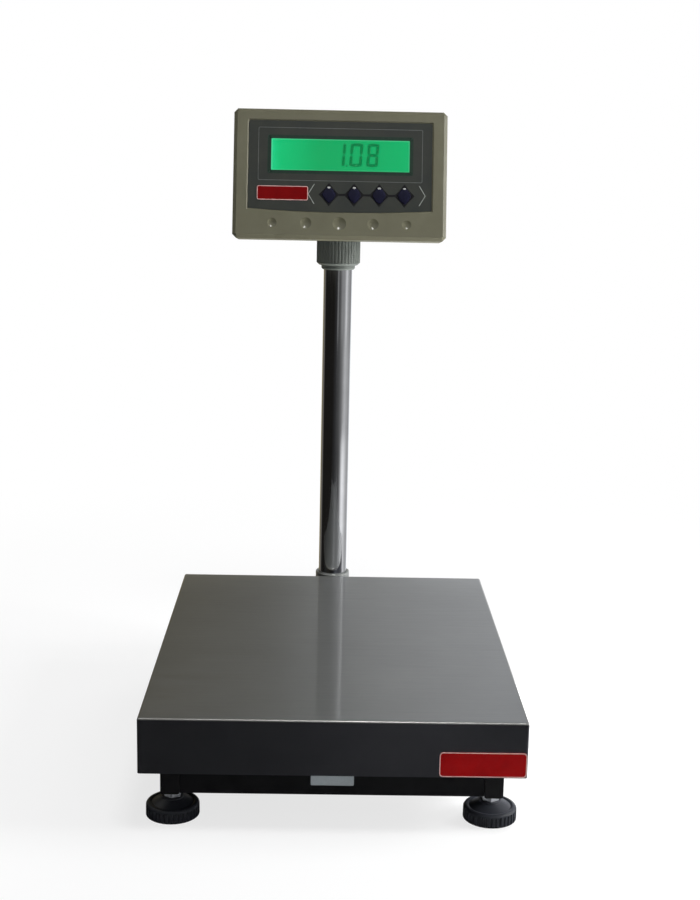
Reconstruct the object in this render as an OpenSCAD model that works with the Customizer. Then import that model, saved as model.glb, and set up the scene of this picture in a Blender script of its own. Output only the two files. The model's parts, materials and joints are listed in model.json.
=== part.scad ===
// Bench scale: a stainless weighing pan on a single-point load cell and a welded
// base with four levelling feet. A column at the rear carries an indicator head
// that swivels and tilts. Millimetres, +Z up, the floor at z = 0, the front at -Y.

/* [Platform] */
// Width of the weighing pan
pan_w = 400; // [360:5:440]
// Depth of the weighing pan, front to rear
pan_d = 500; // [470:5:540]
// Height of the pan's skirt
pan_h = 60; // [57:0.5:62]
// Sheet thickness of the pan
pan_t = 1.5; // [1.2:0.1:2]
// Outer bend radius along the pan's top edges
pan_bend = 2.5; // [2.2:0.1:4]
// Width of the bare badge on the pan's front skirt
badge_w = 90; // [60:1:110]
// Height of the badge
badge_h = 27; // [20:1:40]
// Thickness of the badge
badge_t = 0.8; // [0.5:0.1:1.5]
// Margin from the badge to the skirt's right and lower edges
badge_margin = 1; // [0.5:0.5:6]

/* [Base frame] */
// Clear height from the floor to the underside of the frame
frame_clear = 35.5; // [34:0.5:42]
// Distance from the pan's side to the frame's side
frame_inset_x = 21; // [16:1:26]
// Distance from the pan's front to the frame's front
frame_inset_y = 20; // [14:1:24]
// Width of the rails and beams
rail_w = 20; // [18:1:24]
// Height of the rails and beams
rail_h = 40; // [38:1:42]
// Wall of the rails and beams
rail_t = 2; // [1.5:0.1:3]
// Corner radius of the steel tubes
tube_corner = 2.5; // [2:0.1:4]
// Width of the two spines that hold the load cell
spine_w = 60; // [50:1:80]
// Height of the base spine
spine_h = 25; // [22:1:27]
// Wall of the spines
spine_t = 3; // [2:0.5:4]
// Thickness of the face of the rail end caps
cap_t = 3; // [2:0.5:5]
// Depth of the plug behind an end cap's face
cap_plug = 8; // [5:1:12]
// Width of the bare type plate on the front beam
plate_w = 45; // [30:1:60]
// Height of the type plate
plate_h = 15; // [10:1:20]
// Thickness of the type plate
plate_t = 0.5; // [0.3:0.1:1]

/* [Load cell] */
// Length of the load cell
cell_l = 150; // [140:1:170]
// Width of the load cell
cell_w = 40; // [36:1:48]
// Height of the load cell
cell_h = 30; // [28:1:32]
// Diameter of the two flexure holes
cell_hole_d = 18; // [14:1:20]
// Thickness of the spacer under the load cell
spacer_lower = 5; // [4:0.5:7]
// Thickness of the spacer on top of the load cell
spacer_upper = 4; // [3:0.5:6]
// Length of each spacer along the load cell
spacer_l = 40; // [34:1:44]
// Diameter of the load cell's bolts
cell_bolt_d = 8; // [6:1:8]

/* [Upper frame] */
// Height of the upper frame's tubes
upper_h = 22; // [20:1:24]
// Width of the upper arms
arm_w = 30; // [26:1:36]
// Wall of the upper arms
arm_t = 2; // [1.5:0.5:3]
// Distance from a foot's axis in to the axis of the upper arm beside it
arm_step = 24; // [20:1:40]
// Clearance between an arm's end and the pan's skirt
arm_clear = 13.5; // [11:0.5:21]
// Height of the rubber bumpers under the pan
bumper_h = 5; // [4:0.5:7]
// Diameter of the rubber bumpers
bumper_d = 24; // [18:1:26]
// Gap between an overload stop and the upper arm above it
stop_gap = 1; // [0.5:0.1:2]
// Diameter of the overload stop screws
stop_d = 8; // [6:1:10]
// Diameter of the bull's-eye level
level_d = 18; // [14:1:18]
// Height of the bull's-eye level
level_h = 9; // [7:0.5:12]

/* [Feet] */
// Diameter of a foot's knurled pad
foot_d = 57; // [50:1:60]
// Height of the knurled rim
foot_rim = 13.5; // [11:0.5:14]
// Height of a foot up to the top of its hub
foot_h = 21.5; // [20.5:0.5:22.5]
// Number of ribs round the rim
foot_ribs = 36; // [24:2:44]
// Depth of the grooves round the rim
knurl_depth = 1.1; // [0.6:0.1:1.5]
// Distance from a rail's end to the foot's stud
foot_inset = 30; // [26:1:40]
// Diameter of the foot's stud
stud_d = 10; // [8:1:12]
// Height of the top of the stud above the floor
stud_top = 66; // [60:1:68]
// Width across the flats of the stud's hexagon
hex_af = 17; // [15:1:18]
// Height of the stud's hexagon
hex_h = 8; // [6:0.5:8]
// Diameter of the rubber sole
sole_d = 48; // [40:1:49]
// Thickness of the rubber sole
sole_t = 3; // [2:0.5:4]
// How far the sole stands below the pad
sole_proud = 1; // [0.5:0.1:1.5]

/* [Column] */
// Diameter of the column
column_d = 38; // [34:1:42]
// Wall of the column
column_t = 1.5; // [1:0.5:2]
// Length of the column
column_l = 505; // [400:5:600]
// Distance from the pan's rear to the column's axis
column_gap = 35; // [31:1:45]
// Wall of the socket round the column
socket_wall = 4; // [3.5:0.1:6]
// Height of the socket
socket_h = 86; // [75:1:95]
// Thickness of the bracket's plates
bracket_t = 4; // [3:0.5:5]
// Width of the bracket's back plate
bracket_w = 120; // [110:2:150]
// Clearance between the bracket and the pan's skirt above it
bracket_clear = 2.5; // [2:0.5:6]
// Diameter of the bracket bolts
bracket_bolt_d = 8; // [6:1:8]

/* [Swivel] */
// Wall of the skirt of the column's top cap
cap_wall = 3; // [2.5:0.1:4]
// Length of the cap's skirt over the column
cap_skirt = 5; // [4:0.5:10]
// Thickness of the cap's disc on top of the column
cap_disc = 6; // [4:0.5:8]
// Outer diameter of the swivel spigot
spigot_d = 30; // [26:1:32]
// Outer diameter of the yoke's sleeve
sleeve_d = 48; // [46:1:50]
// Outer diameter of the ribbed locking collar
collar_d = 57.4; // [54:0.2:58]
// Height of the locking collar
collar_h = 30.5; // [26:0.5:31]
// Number of ribs round the collar
collar_ribs = 40; // [30:1:48]
// Depth of the grooves between ribs
rib_depth = 0.6; // [0.4:0.1:1]
// Height of the tilt pin above the yoke's sleeve
pin_rise = 31; // [29:0.5:36]
// Diameter of the tilt pin
pin_d = 8; // [6:1:10]
// Diameter of the yoke's ear round the pin
ear_d = 28; // [22:1:32]
// Depth of the yoke's post, front to rear
post_d = 20; // [16:1:24]

/* [Indicator head] */
// Width of the head
head_w = 272; // [256:1:290]
// Height of the head
head_h = 166; // [162:1:176]
// Depth of the head, front to rear
head_depth = 78; // [76:1:90]
// Depth of the front housing
front_depth = 24; // [23:0.5:24]
// Lean of the face back from upright, in degrees
head_tilt = 14; // [8:1:20]
// Wall of the housings
wall = 2.5; // [2:0.1:3]
// Cut across the corners of the head's outline
head_corner = 5; // [4:0.5:7]
// Width of the bevel round the face
bevel_run = 4.5; // [3:0.5:6]
// Depth of the bevel round the face
bevel_rise = 3.5; // [2:0.5:6]
// How far the housings are drawn in on each side where they meet
front_draft = 2; // [1:0.5:3]
// How far the rear face is drawn in on each side
rear_inset = 14; // [10:1:16]
// Thickness of the seal between the housings
seal_t = 0.8; // [0.5:0.1:1.2]
// Distance from the face back to the tilt pin
pivot_back = 57; // [57:0.5:60]
// Height of the tilt pin above the head's lower edge
pivot_up = 45; // [40:1:50]
// Half width of the notch for the yoke in the rear housing
notch_half = 34; // [32:0.5:38]

/* [Panel] */
// Width of the front panel
panel_w = 234; // [230:1:240]
// Height of the panel's straight sides
panel_h = 112.5; // [110:0.5:114]
// Height of the panel's lower corners above the head's lower edge
panel_low = 38.3; // [36:0.1:40]
// How far the panel's lower edge bows down in the middle
panel_bow = 4; // [2:0.5:5]
// Depth of the recess that takes the panel
panel_recess = 1.5; // [1.2:0.1:2]
// How far the recess opens out towards the face
recess_slope = 1.6; // [0.8:0.1:2]
// Thickness of the panel overlay
overlay_t = 0.6; // [0.4:0.1:0.8]
// Width of the display window
window_w = 176; // [160:1:180]
// Height of the display window
window_h = 40.5; // [36:0.5:42]
// Height of the window's lower edge above the head's lower edge
window_low = 87.5; // [86:0.5:92]
// Diameter of the middle dimple in the lower bezel
dimple_d = 17; // [14:0.5:18]
// Step in diameter from one dimple to the next one out
dimple_step = 2.6; // [1.5:0.1:3]
// Depth of the middle dimple
dimple_depth = 2.2; // [1.5:0.1:2.5]
// Distance between dimples
dimple_pitch = 42.8; // [38:0.2:45]
// Height of the dimples above the head's lower edge
dimple_z = 20; // [18:0.5:22]

/* [Keys] */
// Width of a key
key_w = 18; // [16:0.5:20]
// Height of a key
key_h = 22; // [20:0.5:23]
// Distance between keys
key_pitch = 32; // [30:0.5:33]
// Position of the first key across the head
key_x = -14; // [-18:1:-10]
// Height of the keys above the head's lower edge
key_z = 57; // [55:0.5:59]
// How far a key stands proud of the overlay
key_proud = 1; // [0.8:0.1:1.4]
// Travel of a key
key_travel = 0.8; // [0.5:0.1:1]

/* [Hidden] */
$fn = 64;

// Clearances: a turning fit, a loose hole round a screw, and a part that drops into place
run_gap = 0.06;
hole_gap = 0.2;
seat_gap = 0.3;
// Overshoot of a cut past the face that it opens
cut = 1;

// Heights of the stack from the floor to the pan
rail_top = frame_clear + rail_h;
spine_top = frame_clear + spine_h;
cell_z = spine_top + spacer_lower;
upper_z = cell_z + cell_h + spacer_upper;
upper_top = upper_z + upper_h;
pan_top = upper_top + bumper_h + pan_t;
pan_low = pan_top - pan_h;

// Front to rear: the whole depth is centred on the origin
head_reach = (head_depth - pivot_back) * cos(head_tilt) + (head_h - rear_inset - pivot_up) * sin(head_tilt);
front_y = -(pan_d + column_gap + head_reach) / 2;
pan_y = front_y + pan_d / 2;
column_y = front_y + pan_d + column_gap;

// Base frame
frame_w = pan_w - 2 * frame_inset_x;
frame_d = pan_d - 2 * frame_inset_y;
rail_l = frame_d - 2 * cap_t;
rail_x = frame_w / 2 - rail_w / 2;
beam_l = frame_w - 2 * rail_w;
beam_y = rail_l / 2 - rail_w / 2;
spine_l = rail_l - 2 * rail_w;
foot_y = frame_d / 2 - foot_inset;
stud_low = sole_t + 3;
plate_rise = 11.5;

// Load cell and upper frame
cell_end = cell_l / 2 - spacer_l / 2;
cell_bolt_pitch = spacer_l / 2;
bolt_thread = 16;
bolt_head_d = 1.6 * cell_bolt_d;
bolt_head_h = 0.65 * cell_bolt_d;
bolt_access_d = bolt_head_d + 4;
arm_pitch = 2 * (foot_y - arm_step);
arm_l = pan_w - 2 * (pan_t + arm_clear);
upper_spine_l = arm_pitch - arm_w;
bumper_x = arm_l / 2 - bumper_d / 2 - 6;
stop_nut_h = 6.5;
stop_nut_af = 1.6 * stop_d;
stop_tail = 6;
level_inset = 40;

// Column, swivel and tilt
bracket_y = pan_y + rail_l / 2;
bracket_h = pan_low - bracket_clear - frame_clear;
bracket_edge = 14;
bracket_bolt_l = 14;
bracket_hole_d = 20;
column_z = frame_clear + bracket_t;
column_top = column_z + column_l;
socket_d = column_d + 2 * socket_wall;
socket_bore = column_d + 2 * run_gap;
cap_d = column_d + 2 * (hole_gap + cap_wall);
cap_top = column_top + cap_disc;
collar_z = cap_top + 0.5;
collar_top = collar_z + collar_h;
sleeve_top = collar_top;
pin_z = sleeve_top + pin_rise;
ear_half = notch_half - 4;
pin_half = notch_half + 7;
screw_d = 6;
cable_bore = 12;

// Head, in its own frame: the face at y = 0, the lower edge at z = 0
face_wall = panel_recess + wall;
rear_y = front_depth + seal_t;
notch_y = rear_y + wall;
notch_top = pivot_up + ear_d / 2 + 8;
boss_d = 11;
boss_inset = rear_inset + boss_d + 1;
boss_x = head_w / 2 - boss_inset;
boss_low = boss_inset;
boss_high = head_h - boss_inset;
housing_screw_d = 3.2;
housing_screw_head = 7.4;
screw_well = 22;
screw_grip = 12;
screw_seat = head_depth - screw_well;
screw_end = front_depth - screw_grip;
board_screw_d = 2.4;
board_screw_head = 5.5;
board_screw_l = 6;
board_gap = 11;
board_y = face_wall + board_gap;
board_t = 1.6;
board_rim = 23;
board_w = window_w + 2 * board_rim;
board_low = boss_low + boss_d / 2 + 2;
board_high = boss_high - boss_d / 2 - 2;
board_boss_d = 8;
lens_back = face_wall;
lcd_t = 2.5;
lcd_rim = 3;
holder_rim = 6;
key_flange = 1;
key_stem = 6;
stem_d = 6;
switch_w = 6;
switch_top = face_wall + seat_gap + key_flange + key_stem + key_travel + 0.1;
key_round = 1.35;
dimple_sizes = [for (i = [-2:2]) dimple_d - dimple_step * abs(i)];
battery_gap = 1.5;
battery_side = 7;
battery_d = 33;
battery_y = head_depth - wall - battery_d;
battery_inner = pin_half + 5.5;
battery_w = head_w / 2 - rear_inset - wall - battery_side - battery_inner;
battery_x = battery_inner + battery_w / 2;
battery_low = boss_low + boss_d / 2 + battery_gap;
battery_h = boss_high - boss_d / 2 - battery_gap - battery_low;
inlet_d = 11;
inlet_x = -92;
inlet_z = 42;
inlet_l = 14;
inlet_pin_l = 10;
inlet_pin_d = 5.6;
inlet_rim = 1.6;

// Outlines
function arc(x, y, r, from, to, steps) =
    [for (i = [0:steps]) let (a = from + (to - from) * i / steps) [x + r * cos(a), y + r * sin(a)]];

function round_rect(w, h, r, steps = 5) = concat(
    arc(w / 2 - r, h / 2 - r, r, 0, 90, steps),
    arc(-w / 2 + r, h / 2 - r, r, 90, 180, steps),
    arc(-w / 2 + r, -h / 2 + r, r, 180, 270, steps),
    arc(w / 2 - r, -h / 2 + r, r, 270, 360, steps));

// A folded edge: square below, with its two upper corners bent to a radius
function folded(w, low, top, r, steps = 6) = concat(
    arc(w / 2 - r, top - r, r, 0, 90, steps),
    arc(-w / 2 + r, top - r, r, 90, 180, steps),
    [[-w / 2, low], [w / 2, low]]);

// A ring of ribs: each rib has a flat crest and a flat groove beside it
function ribbed(r, depth, ribs) = [
    for (i = [0:ribs - 1], k = [0:3])
        let (a = 360 / ribs * (i + [0.06, 0.50, 0.62, 0.94][k]))
        (k < 2 ? r : r - depth) * [cos(a), sin(a)]];

// A soft diamond: the exponent lies between a straight diamond and an ellipse
function power(v, e) = sign(v) * pow(abs(v), e);
function diamond(w, h, e, steps = 40) = [
    for (i = [0:steps - 1]) let (a = 360 * i / steps)
        [w / 2 * power(cos(a), 2 / e), h / 2 * power(sin(a), 2 / e)]];

// The panel: straight sides and top, with a lower edge that bows down
function panel_outline(w, h, bow, r, steps = 12) = concat(
    arc(w / 2 - r, h - r, r, 0, 90, 4),
    arc(-w / 2 + r, h - r, r, 90, 180, 4),
    [for (i = [0:steps]) let (s = -1 + 2 * i / steps) [s * w / 2, -bow * (1 - s * s)]]);

// Extrusions along each axis, between two coordinates
module along_x(from, to) translate([from, 0, 0]) rotate([90, 0, 90]) linear_extrude(to - from) children();
module along_y(from, to) translate([0, to, 0]) rotate([90, 0, 0]) linear_extrude(to - from) children();
module along_z(from, to) translate([0, 0, from]) linear_extrude(to - from) children();

// A round bar along each axis
module bar_x(d, from, to) translate([from, 0, 0]) rotate([0, 90, 0]) cylinder(d = d, h = to - from);
module bar_y(d, from, to) translate([0, to, 0]) rotate([90, 0, 0]) cylinder(d = d, h = to - from);
module bar_z(d, from, to) translate([0, 0, from]) cylinder(d = d, h = to - from);

module tube_section(w, h, t) {
    difference() {
        polygon(round_rect(w, h, tube_corner));
        polygon(round_rect(w - 2 * t, h - 2 * t, max(tube_corner - t, 0.4)));
    }
}

module mirrored_x() {
    children();
    mirror([1, 0, 0]) children();
}

// Base frame
module side_rails() color("#1d1d1f") {
    for (side = [-1, 1])
        difference() {
            translate([side * rail_x, pan_y, frame_clear + rail_h / 2])
                along_y(-rail_l / 2, rail_l / 2) tube_section(rail_w, rail_h, rail_t);
            for (end = [-1, 1]) {
                translate([side * rail_x, pan_y + end * foot_y, 0])
                    bar_z(stud_d + 2 * hole_gap, frame_clear - cut, frame_clear + rail_t + cut);
                translate([side * rail_x, pan_y + end * arm_pitch / 2, 0])
                    bar_z(stop_d + 2 * run_gap, rail_top - rail_t - cut, rail_top + cut);
            }
        }
}

module beam(end) {
    translate([0, pan_y + end * beam_y, frame_clear + rail_h / 2])
        along_x(-beam_l / 2, beam_l / 2) tube_section(rail_w, rail_h, rail_t);
}

module front_beam() color("#1d1d1f") beam(-1);

module bracket_bolt_places() {
    for (side = [-1, 1], up = [0.25, 0.75])
        translate([side * (bracket_w / 2 - bracket_edge), 0, frame_clear + bracket_h * up]) children();
}

module rear_beam() color("#1d1d1f") {
    difference() {
        beam(1);
        bracket_bolt_places()
            bar_y(bracket_bolt_d + 2 * run_gap, bracket_y - rail_t - cut, bracket_y + cut);
    }
}

module cell_bolt_places(end) {
    for (s = [-1, 1])
        translate([0, pan_y + end * cell_end + s * cell_bolt_pitch / 2, 0]) children();
}

module base_spine() color("#1d1d1f") {
    difference() {
        translate([0, pan_y, frame_clear + spine_h / 2])
            along_y(-spine_l / 2, spine_l / 2) tube_section(spine_w, spine_h, spine_t);
        cell_bolt_places(1) {
            bar_z(cell_bolt_d + 2 * run_gap, spine_top - spine_t - cut, spine_top + cut);
            bar_z(bolt_access_d, frame_clear - cut, frame_clear + spine_t + cut);
        }
    }
}

module rail_end_caps() color("#17171a") {
    for (side = [-1, 1], end = [-1, 1])
        translate([side * rail_x, pan_y + end * rail_l / 2, frame_clear + rail_h / 2])
            rotate([0, 0, end > 0 ? 0 : 180]) {
                along_y(0, cap_t) polygon(round_rect(rail_w, rail_h, tube_corner));
                along_y(-cap_plug, 0.5)
                    polygon(round_rect(rail_w - 2 * rail_t - 0.4, rail_h - 2 * rail_t - 0.4, 1));
            }
}

module type_plate() color("#9a9c9c") {
    translate([0, pan_y - rail_l / 2, frame_clear + plate_rise + plate_h / 2])
        along_y(-plate_t, 0) polygon(round_rect(plate_w, plate_h, 1));
}

// Levelling feet: the stud is moulded into the knurled pad, which turns on its rubber sole
module foot_place(side, end) translate([side * rail_x, pan_y + end * foot_y, 0]) children();

module foot_bushes() color("#b9bcc0") {
    for (side = [-1, 1], end = [-1, 1])
        foot_place(side, end)
            difference() {
                bar_z(rail_w - 2 * rail_t - 0.2, frame_clear + rail_t, rail_top - rail_t);
                bar_z(stud_d + 2 * run_gap, frame_clear - cut, rail_top + cut);
            }
}

module foot_sole(side, end) color("#111112") foot_place(side, end) bar_z(sole_d, 0, sole_t);

module foot_pad(side, end) color("#141416") {
    shoulder = 2;
    top_r = foot_d / 2 - knurl_depth / 3;
    hub_r = 12;
    foot_place(side, end)
        difference() {
            union() {
                along_z(sole_proud, foot_rim) polygon(ribbed(foot_d / 2, knurl_depth, foot_ribs));
                rotate_extrude() polygon([
                    [0, foot_rim - 1], [top_r, foot_rim - 1], [top_r, foot_rim + 0.3],
                    [top_r - 0.5, foot_rim + 1.2], [top_r - shoulder, foot_rim + shoulder],
                    [hub_r + 1.5, foot_h - 2.6], [hub_r, foot_h - 1.8], [hub_r - 0.6, foot_h],
                    [0, foot_h]]);
            }
            bar_z(sole_d + 2 * seat_gap, -cut, sole_t);
            bar_z(stud_d + 0.04, stud_low, foot_h + cut);
        }
}

module foot_stud(side, end) color("#c4c6c8") {
    foot_place(side, end) {
        bar_z(stud_d, stud_low, stud_top);
        along_z(foot_h, foot_h + hex_h) circle(d = hex_af / cos(30), $fn = 6);
    }
}

// Load cell between the two spines: the rear end is fixed, the front end carries the pan
module load_cell() color("#b8babd") {
    flexure = (cell_l / 2 - spacer_l) / 2;
    slot_h = 6;
    difference() {
        translate([-cell_w / 2, pan_y - cell_l / 2, cell_z]) cube([cell_w, cell_l, cell_h]);
        translate([0, pan_y, cell_z + cell_h / 2]) {
            for (s = [-1, 1])
                translate([0, s * flexure, 0]) bar_x(cell_hole_d, -cell_w, cell_w);
            translate([-cell_w, -flexure, -slot_h / 2]) cube([2 * cell_w, 2 * flexure, slot_h]);
        }
        cell_bolt_places(1) bar_z(cell_bolt_d + 2 * run_gap, cell_z - cut, cell_z + bolt_thread);
        cell_bolt_places(-1)
            bar_z(cell_bolt_d + 2 * run_gap, cell_z + cell_h - bolt_thread, cell_z + cell_h + cut);
    }
}

module cell_spacer(end, from, to) color("#55575a") {
    difference() {
        translate([-cell_w / 2, pan_y + end * cell_end - spacer_l / 2, from])
            cube([cell_w, spacer_l, to - from]);
        cell_bolt_places(end) bar_z(cell_bolt_d + 2 * run_gap, from - cut, to + cut);
    }
}

module cell_spacer_lower() cell_spacer(1, spine_top, cell_z);
module cell_spacer_upper() cell_spacer(-1, cell_z + cell_h, upper_z);

module cell_bolts_lower() color("#c4c6c8") {
    cell_bolt_places(1) {
        bar_z(cell_bolt_d, spine_top - spine_t - 0.1, cell_z + bolt_thread - 1);
        along_z(spine_top - spine_t - bolt_head_h, spine_top - spine_t)
            circle(d = bolt_head_d, $fn = 6);
    }
}

module cell_bolts_upper() color("#c4c6c8") {
    cell_bolt_places(-1) {
        bar_z(cell_bolt_d, cell_z + cell_h - bolt_thread + 1, upper_z + spine_t + 0.1);
        along_z(upper_z + spine_t, upper_z + spine_t + bolt_head_h)
            circle(d = bolt_head_d, $fn = 6);
    }
}

// Upper frame, bumpers and overload stops
module upper_spine() color("#1d1d1f") {
    difference() {
        translate([0, pan_y, upper_z + upper_h / 2])
            along_y(-upper_spine_l / 2, upper_spine_l / 2) tube_section(spine_w, upper_h, spine_t);
        cell_bolt_places(-1) {
            bar_z(cell_bolt_d + 2 * run_gap, upper_z - cut, upper_z + spine_t + cut);
            bar_z(bolt_access_d, upper_top - spine_t - cut, upper_top + cut);
        }
    }
}

module upper_arms() color("#1d1d1f") {
    for (end = [-1, 1])
        translate([0, pan_y + end * arm_pitch / 2, upper_z + upper_h / 2])
            along_x(-arm_l / 2, arm_l / 2) tube_section(arm_w, upper_h, arm_t);
}

module pan_bumpers() color("#202022") {
    for (side = [-1, 1], end = [-1, 1])
        translate([side * bumper_x, pan_y + end * arm_pitch / 2, upper_top])
            rotate_extrude() polygon([
                [3, 0], [bumper_d / 2, 0], [bumper_d / 2, bumper_h * 0.6],
                [bumper_d / 2 - 1.5, bumper_h], [5, bumper_h], [3, bumper_h * 0.6]]);
}

module stop_places() {
    for (side = [-1, 1], end = [-1, 1])
        translate([side * rail_x, pan_y + end * arm_pitch / 2, 0]) children();
}

module overload_stops() color("#c4c6c8") {
    stop_places() bar_z(stop_d, rail_top - rail_t - stop_tail, upper_z - stop_gap);
}

module stop_nuts() color("#c4c6c8") {
    stop_places()
        difference() {
            along_z(rail_top, rail_top + stop_nut_h) circle(d = stop_nut_af / cos(30), $fn = 6);
            bar_z(stop_d + 2 * run_gap, rail_top - cut, rail_top + stop_nut_h + cut);
        }
}

// Bull's-eye level on the rear beam, seen with the pan lifted off
module level_place() translate([beam_l / 2 - level_inset, pan_y + beam_y, rail_top]) children();

module level_body() color("#d8d8d4") {
    level_place()
        rotate_extrude() polygon([
            [0, 0], [level_d / 2, 0], [level_d / 2, level_h - 0.8], [level_d / 2 - 0.8, level_h],
            [level_d / 2 - 1.8, level_h], [level_d / 2 - 1.8, 2], [0, 2]]);
}

module level_lens() color("#a7d64a") {
    level_place() bar_z(level_d - 3.6 - 0.1, 2, level_h - 1);
}

// Column bracket, socket and column
module column_bracket() color("#1d1d1f") {
    cheek = socket_d / 2 + 0.1;
    reach = column_y - bracket_y;
    difference() {
        union() {
            translate([-bracket_w / 2, bracket_y, frame_clear])
                cube([bracket_w, bracket_t, bracket_h]);
            mirrored_x()
                translate([cheek, bracket_y + bracket_t / 2, frame_clear])
                    cube([bracket_t, reach + 10, bracket_h]);
            translate([-cheek - 1, bracket_y + bracket_t / 2, frame_clear])
                cube([2 * cheek + 2, reach, bracket_t]);
            translate([0, column_y, 0]) bar_z(socket_d, frame_clear, frame_clear + bracket_t);
        }
        bracket_bolt_places()
            bar_y(bracket_bolt_d + 2 * run_gap, bracket_y - cut, bracket_y + bracket_t + cut);
        translate([0, column_y, 0]) bar_z(bracket_hole_d, frame_clear - cut, frame_clear + bracket_t + cut);
    }
}

module bracket_bolts() color("#c4c6c8") {
    head_h = 0.65 * bracket_bolt_d;
    bracket_bolt_places() {
        bar_y(bracket_bolt_d, bracket_y - bracket_bolt_l, bracket_y + bracket_t + 0.1);
        along_y(bracket_y + bracket_t, bracket_y + bracket_t + head_h)
            circle(d = 1.63 * bracket_bolt_d / cos(30), $fn = 6);
    }
}

module socket_screw_places() {
    for (up = [0.55, 0.85]) translate([0, column_y, column_z + socket_h * up]) children();
}

module column_socket() color("#8f9296") {
    lip = 1.2;
    difference() {
        translate([0, column_y, column_z])
            rotate_extrude() polygon([
                [socket_bore / 2, 0], [socket_d / 2, 0], [socket_d / 2, socket_h - lip],
                [socket_d / 2 - lip * 0.3, socket_h - lip * 0.3], [socket_d / 2 - lip, socket_h],
                [socket_bore / 2, socket_h]]);
        socket_screw_places() bar_y(screw_d + 2 * run_gap, 0, socket_d);
    }
}

module socket_screws() color("#c4c6c8") {
    socket_screw_places() {
        bar_y(screw_d, column_d / 2 + run_gap, socket_d / 2 + 0.4);
        bar_y(1.65 * screw_d, socket_d / 2 + 0.2, socket_d / 2 + 0.2 + 0.8 * screw_d);
    }
}

module column_tube() color("#c9cbce") {
    translate([0, column_y, 0])
        difference() {
            bar_z(column_d, column_z, column_top);
            bar_z(column_d - 2 * column_t, column_z - cut, column_top + cut);
        }
}

// Cap on the column's top: a skirt outside, a plug inside and the swivel spigot above
module column_cap() color("#5c605e") {
    plug_r = column_d / 2 - column_t - hole_gap;
    skirt_r = column_d / 2 + hole_gap;
    plug_l = 30;
    translate([0, column_y, column_top])
        rotate_extrude() polygon([
            [cable_bore / 2, -plug_l], [plug_r - 1, -plug_l], [plug_r, -plug_l + 1], [plug_r, 0],
            [skirt_r, 0], [skirt_r, -cap_skirt], [cap_d / 2 - 1.4, -cap_skirt],
            [cap_d / 2, -cap_skirt + 1.8], [cap_d / 2, cap_disc - 0.6], [cap_d / 2 - 0.6, cap_disc],
            [spigot_d / 2, cap_disc], [spigot_d / 2, cap_disc + collar_h - 3],
            [spigot_d / 2 - 1, cap_disc + collar_h - 2], [cable_bore / 2, cap_disc + collar_h - 2]]);
}

// Swivel yoke: a sleeve on the spigot, with a post and an ear for the tilt pin
module tilt_yoke() color("#5c605e") {
    deck = 4;
    translate([0, column_y, 0])
        difference() {
            union() {
                bar_z(sleeve_d, cap_top, sleeve_top + deck);
                translate([-ear_half, -post_d / 2, sleeve_top + deck / 2])
                    cube([2 * ear_half, post_d, pin_rise - deck / 2]);
                translate([0, 0, pin_z]) bar_x(ear_d, -ear_half, ear_half);
            }
            bar_z(spigot_d + 2 * run_gap, cap_top - cut, cap_top + collar_h - 1.5);
            bar_z(cable_bore, cap_top, sleeve_top + deck + 6);
            translate([0, 0, sleeve_top + deck + 6]) bar_y(cable_bore, -post_d, 0);
            translate([0, 0, pin_z]) bar_x(pin_d, -ear_half - cut, ear_half + cut);
            mirrored_x()
                translate([ear_half - 8, -post_d, sleeve_top + deck])
                    cube([cut + 8, 2 * post_d, pin_rise - deck - ear_d / 2 - 1]);
        }
}

module tilt_pin() color("#c4c6c8") {
    translate([0, column_y, pin_z]) bar_x(pin_d, -pin_half, pin_half);
}

module friction_washers() color("#dcdcd6") {
    mirrored_x()
        translate([0, column_y, pin_z])
            difference() {
                bar_x(ear_d - 4, ear_half, notch_half - hole_gap);
                bar_x(pin_d + 2 * run_gap, ear_half - cut, notch_half + cut);
            }
}

// Ribbed locking collar round the yoke's sleeve
module swivel_collar() color("#5c605e") {
    shoulder = 3;
    translate([0, column_y, 0])
        difference() {
            union() {
                along_z(collar_z + shoulder, collar_top)
                    polygon(ribbed(collar_d / 2, rib_depth, collar_ribs));
                translate([0, 0, collar_z]) cylinder(
                    r1 = sleeve_d / 2 + 0.9, r2 = collar_d / 2 - rib_depth - 0.2, h = shoulder);
            }
            bar_z(sleeve_d + 4 * run_gap, collar_z - cut, collar_top + cut);
        }
}

// Indicator head: local frame with the face at y = 0 and the lower edge at z = 0
module at_head() {
    translate([0, column_y, pin_z])
        rotate([-head_tilt, 0, 0])
            translate([0, -pivot_back, -pivot_up]) children();
}

module boss_places() {
    for (side = [-1, 1], z = [boss_low, boss_high]) translate([side * boss_x, 0, z]) children();
}

module board_boss_places() {
    for (side = [-1, 1], z = [board_low + 5, board_high - 5])
        translate([side * (board_w / 2 - 5), 0, z]) children();
}

module key_places() {
    for (i = [0:3]) translate([key_x + i * key_pitch, 0, key_z]) children();
}

module centred(z) translate([0, 0, z]) children();

// A thin slice of the head's outline, drawn in on every side
module outline(y, inset, corner = head_corner) {
    slice = 0.01;
    centred(head_h / 2) along_y(y, y + slice)
        polygon(round_rect(head_w - 2 * inset, head_h - 2 * inset, corner, 1));
}

module panel_slice(y, grow) {
    slice = 0.01;
    centred(panel_low - grow) along_y(y - slice, y)
        polygon(panel_outline(panel_w + 2 * grow, panel_h + 2 * grow, panel_bow, 3));
}

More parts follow.
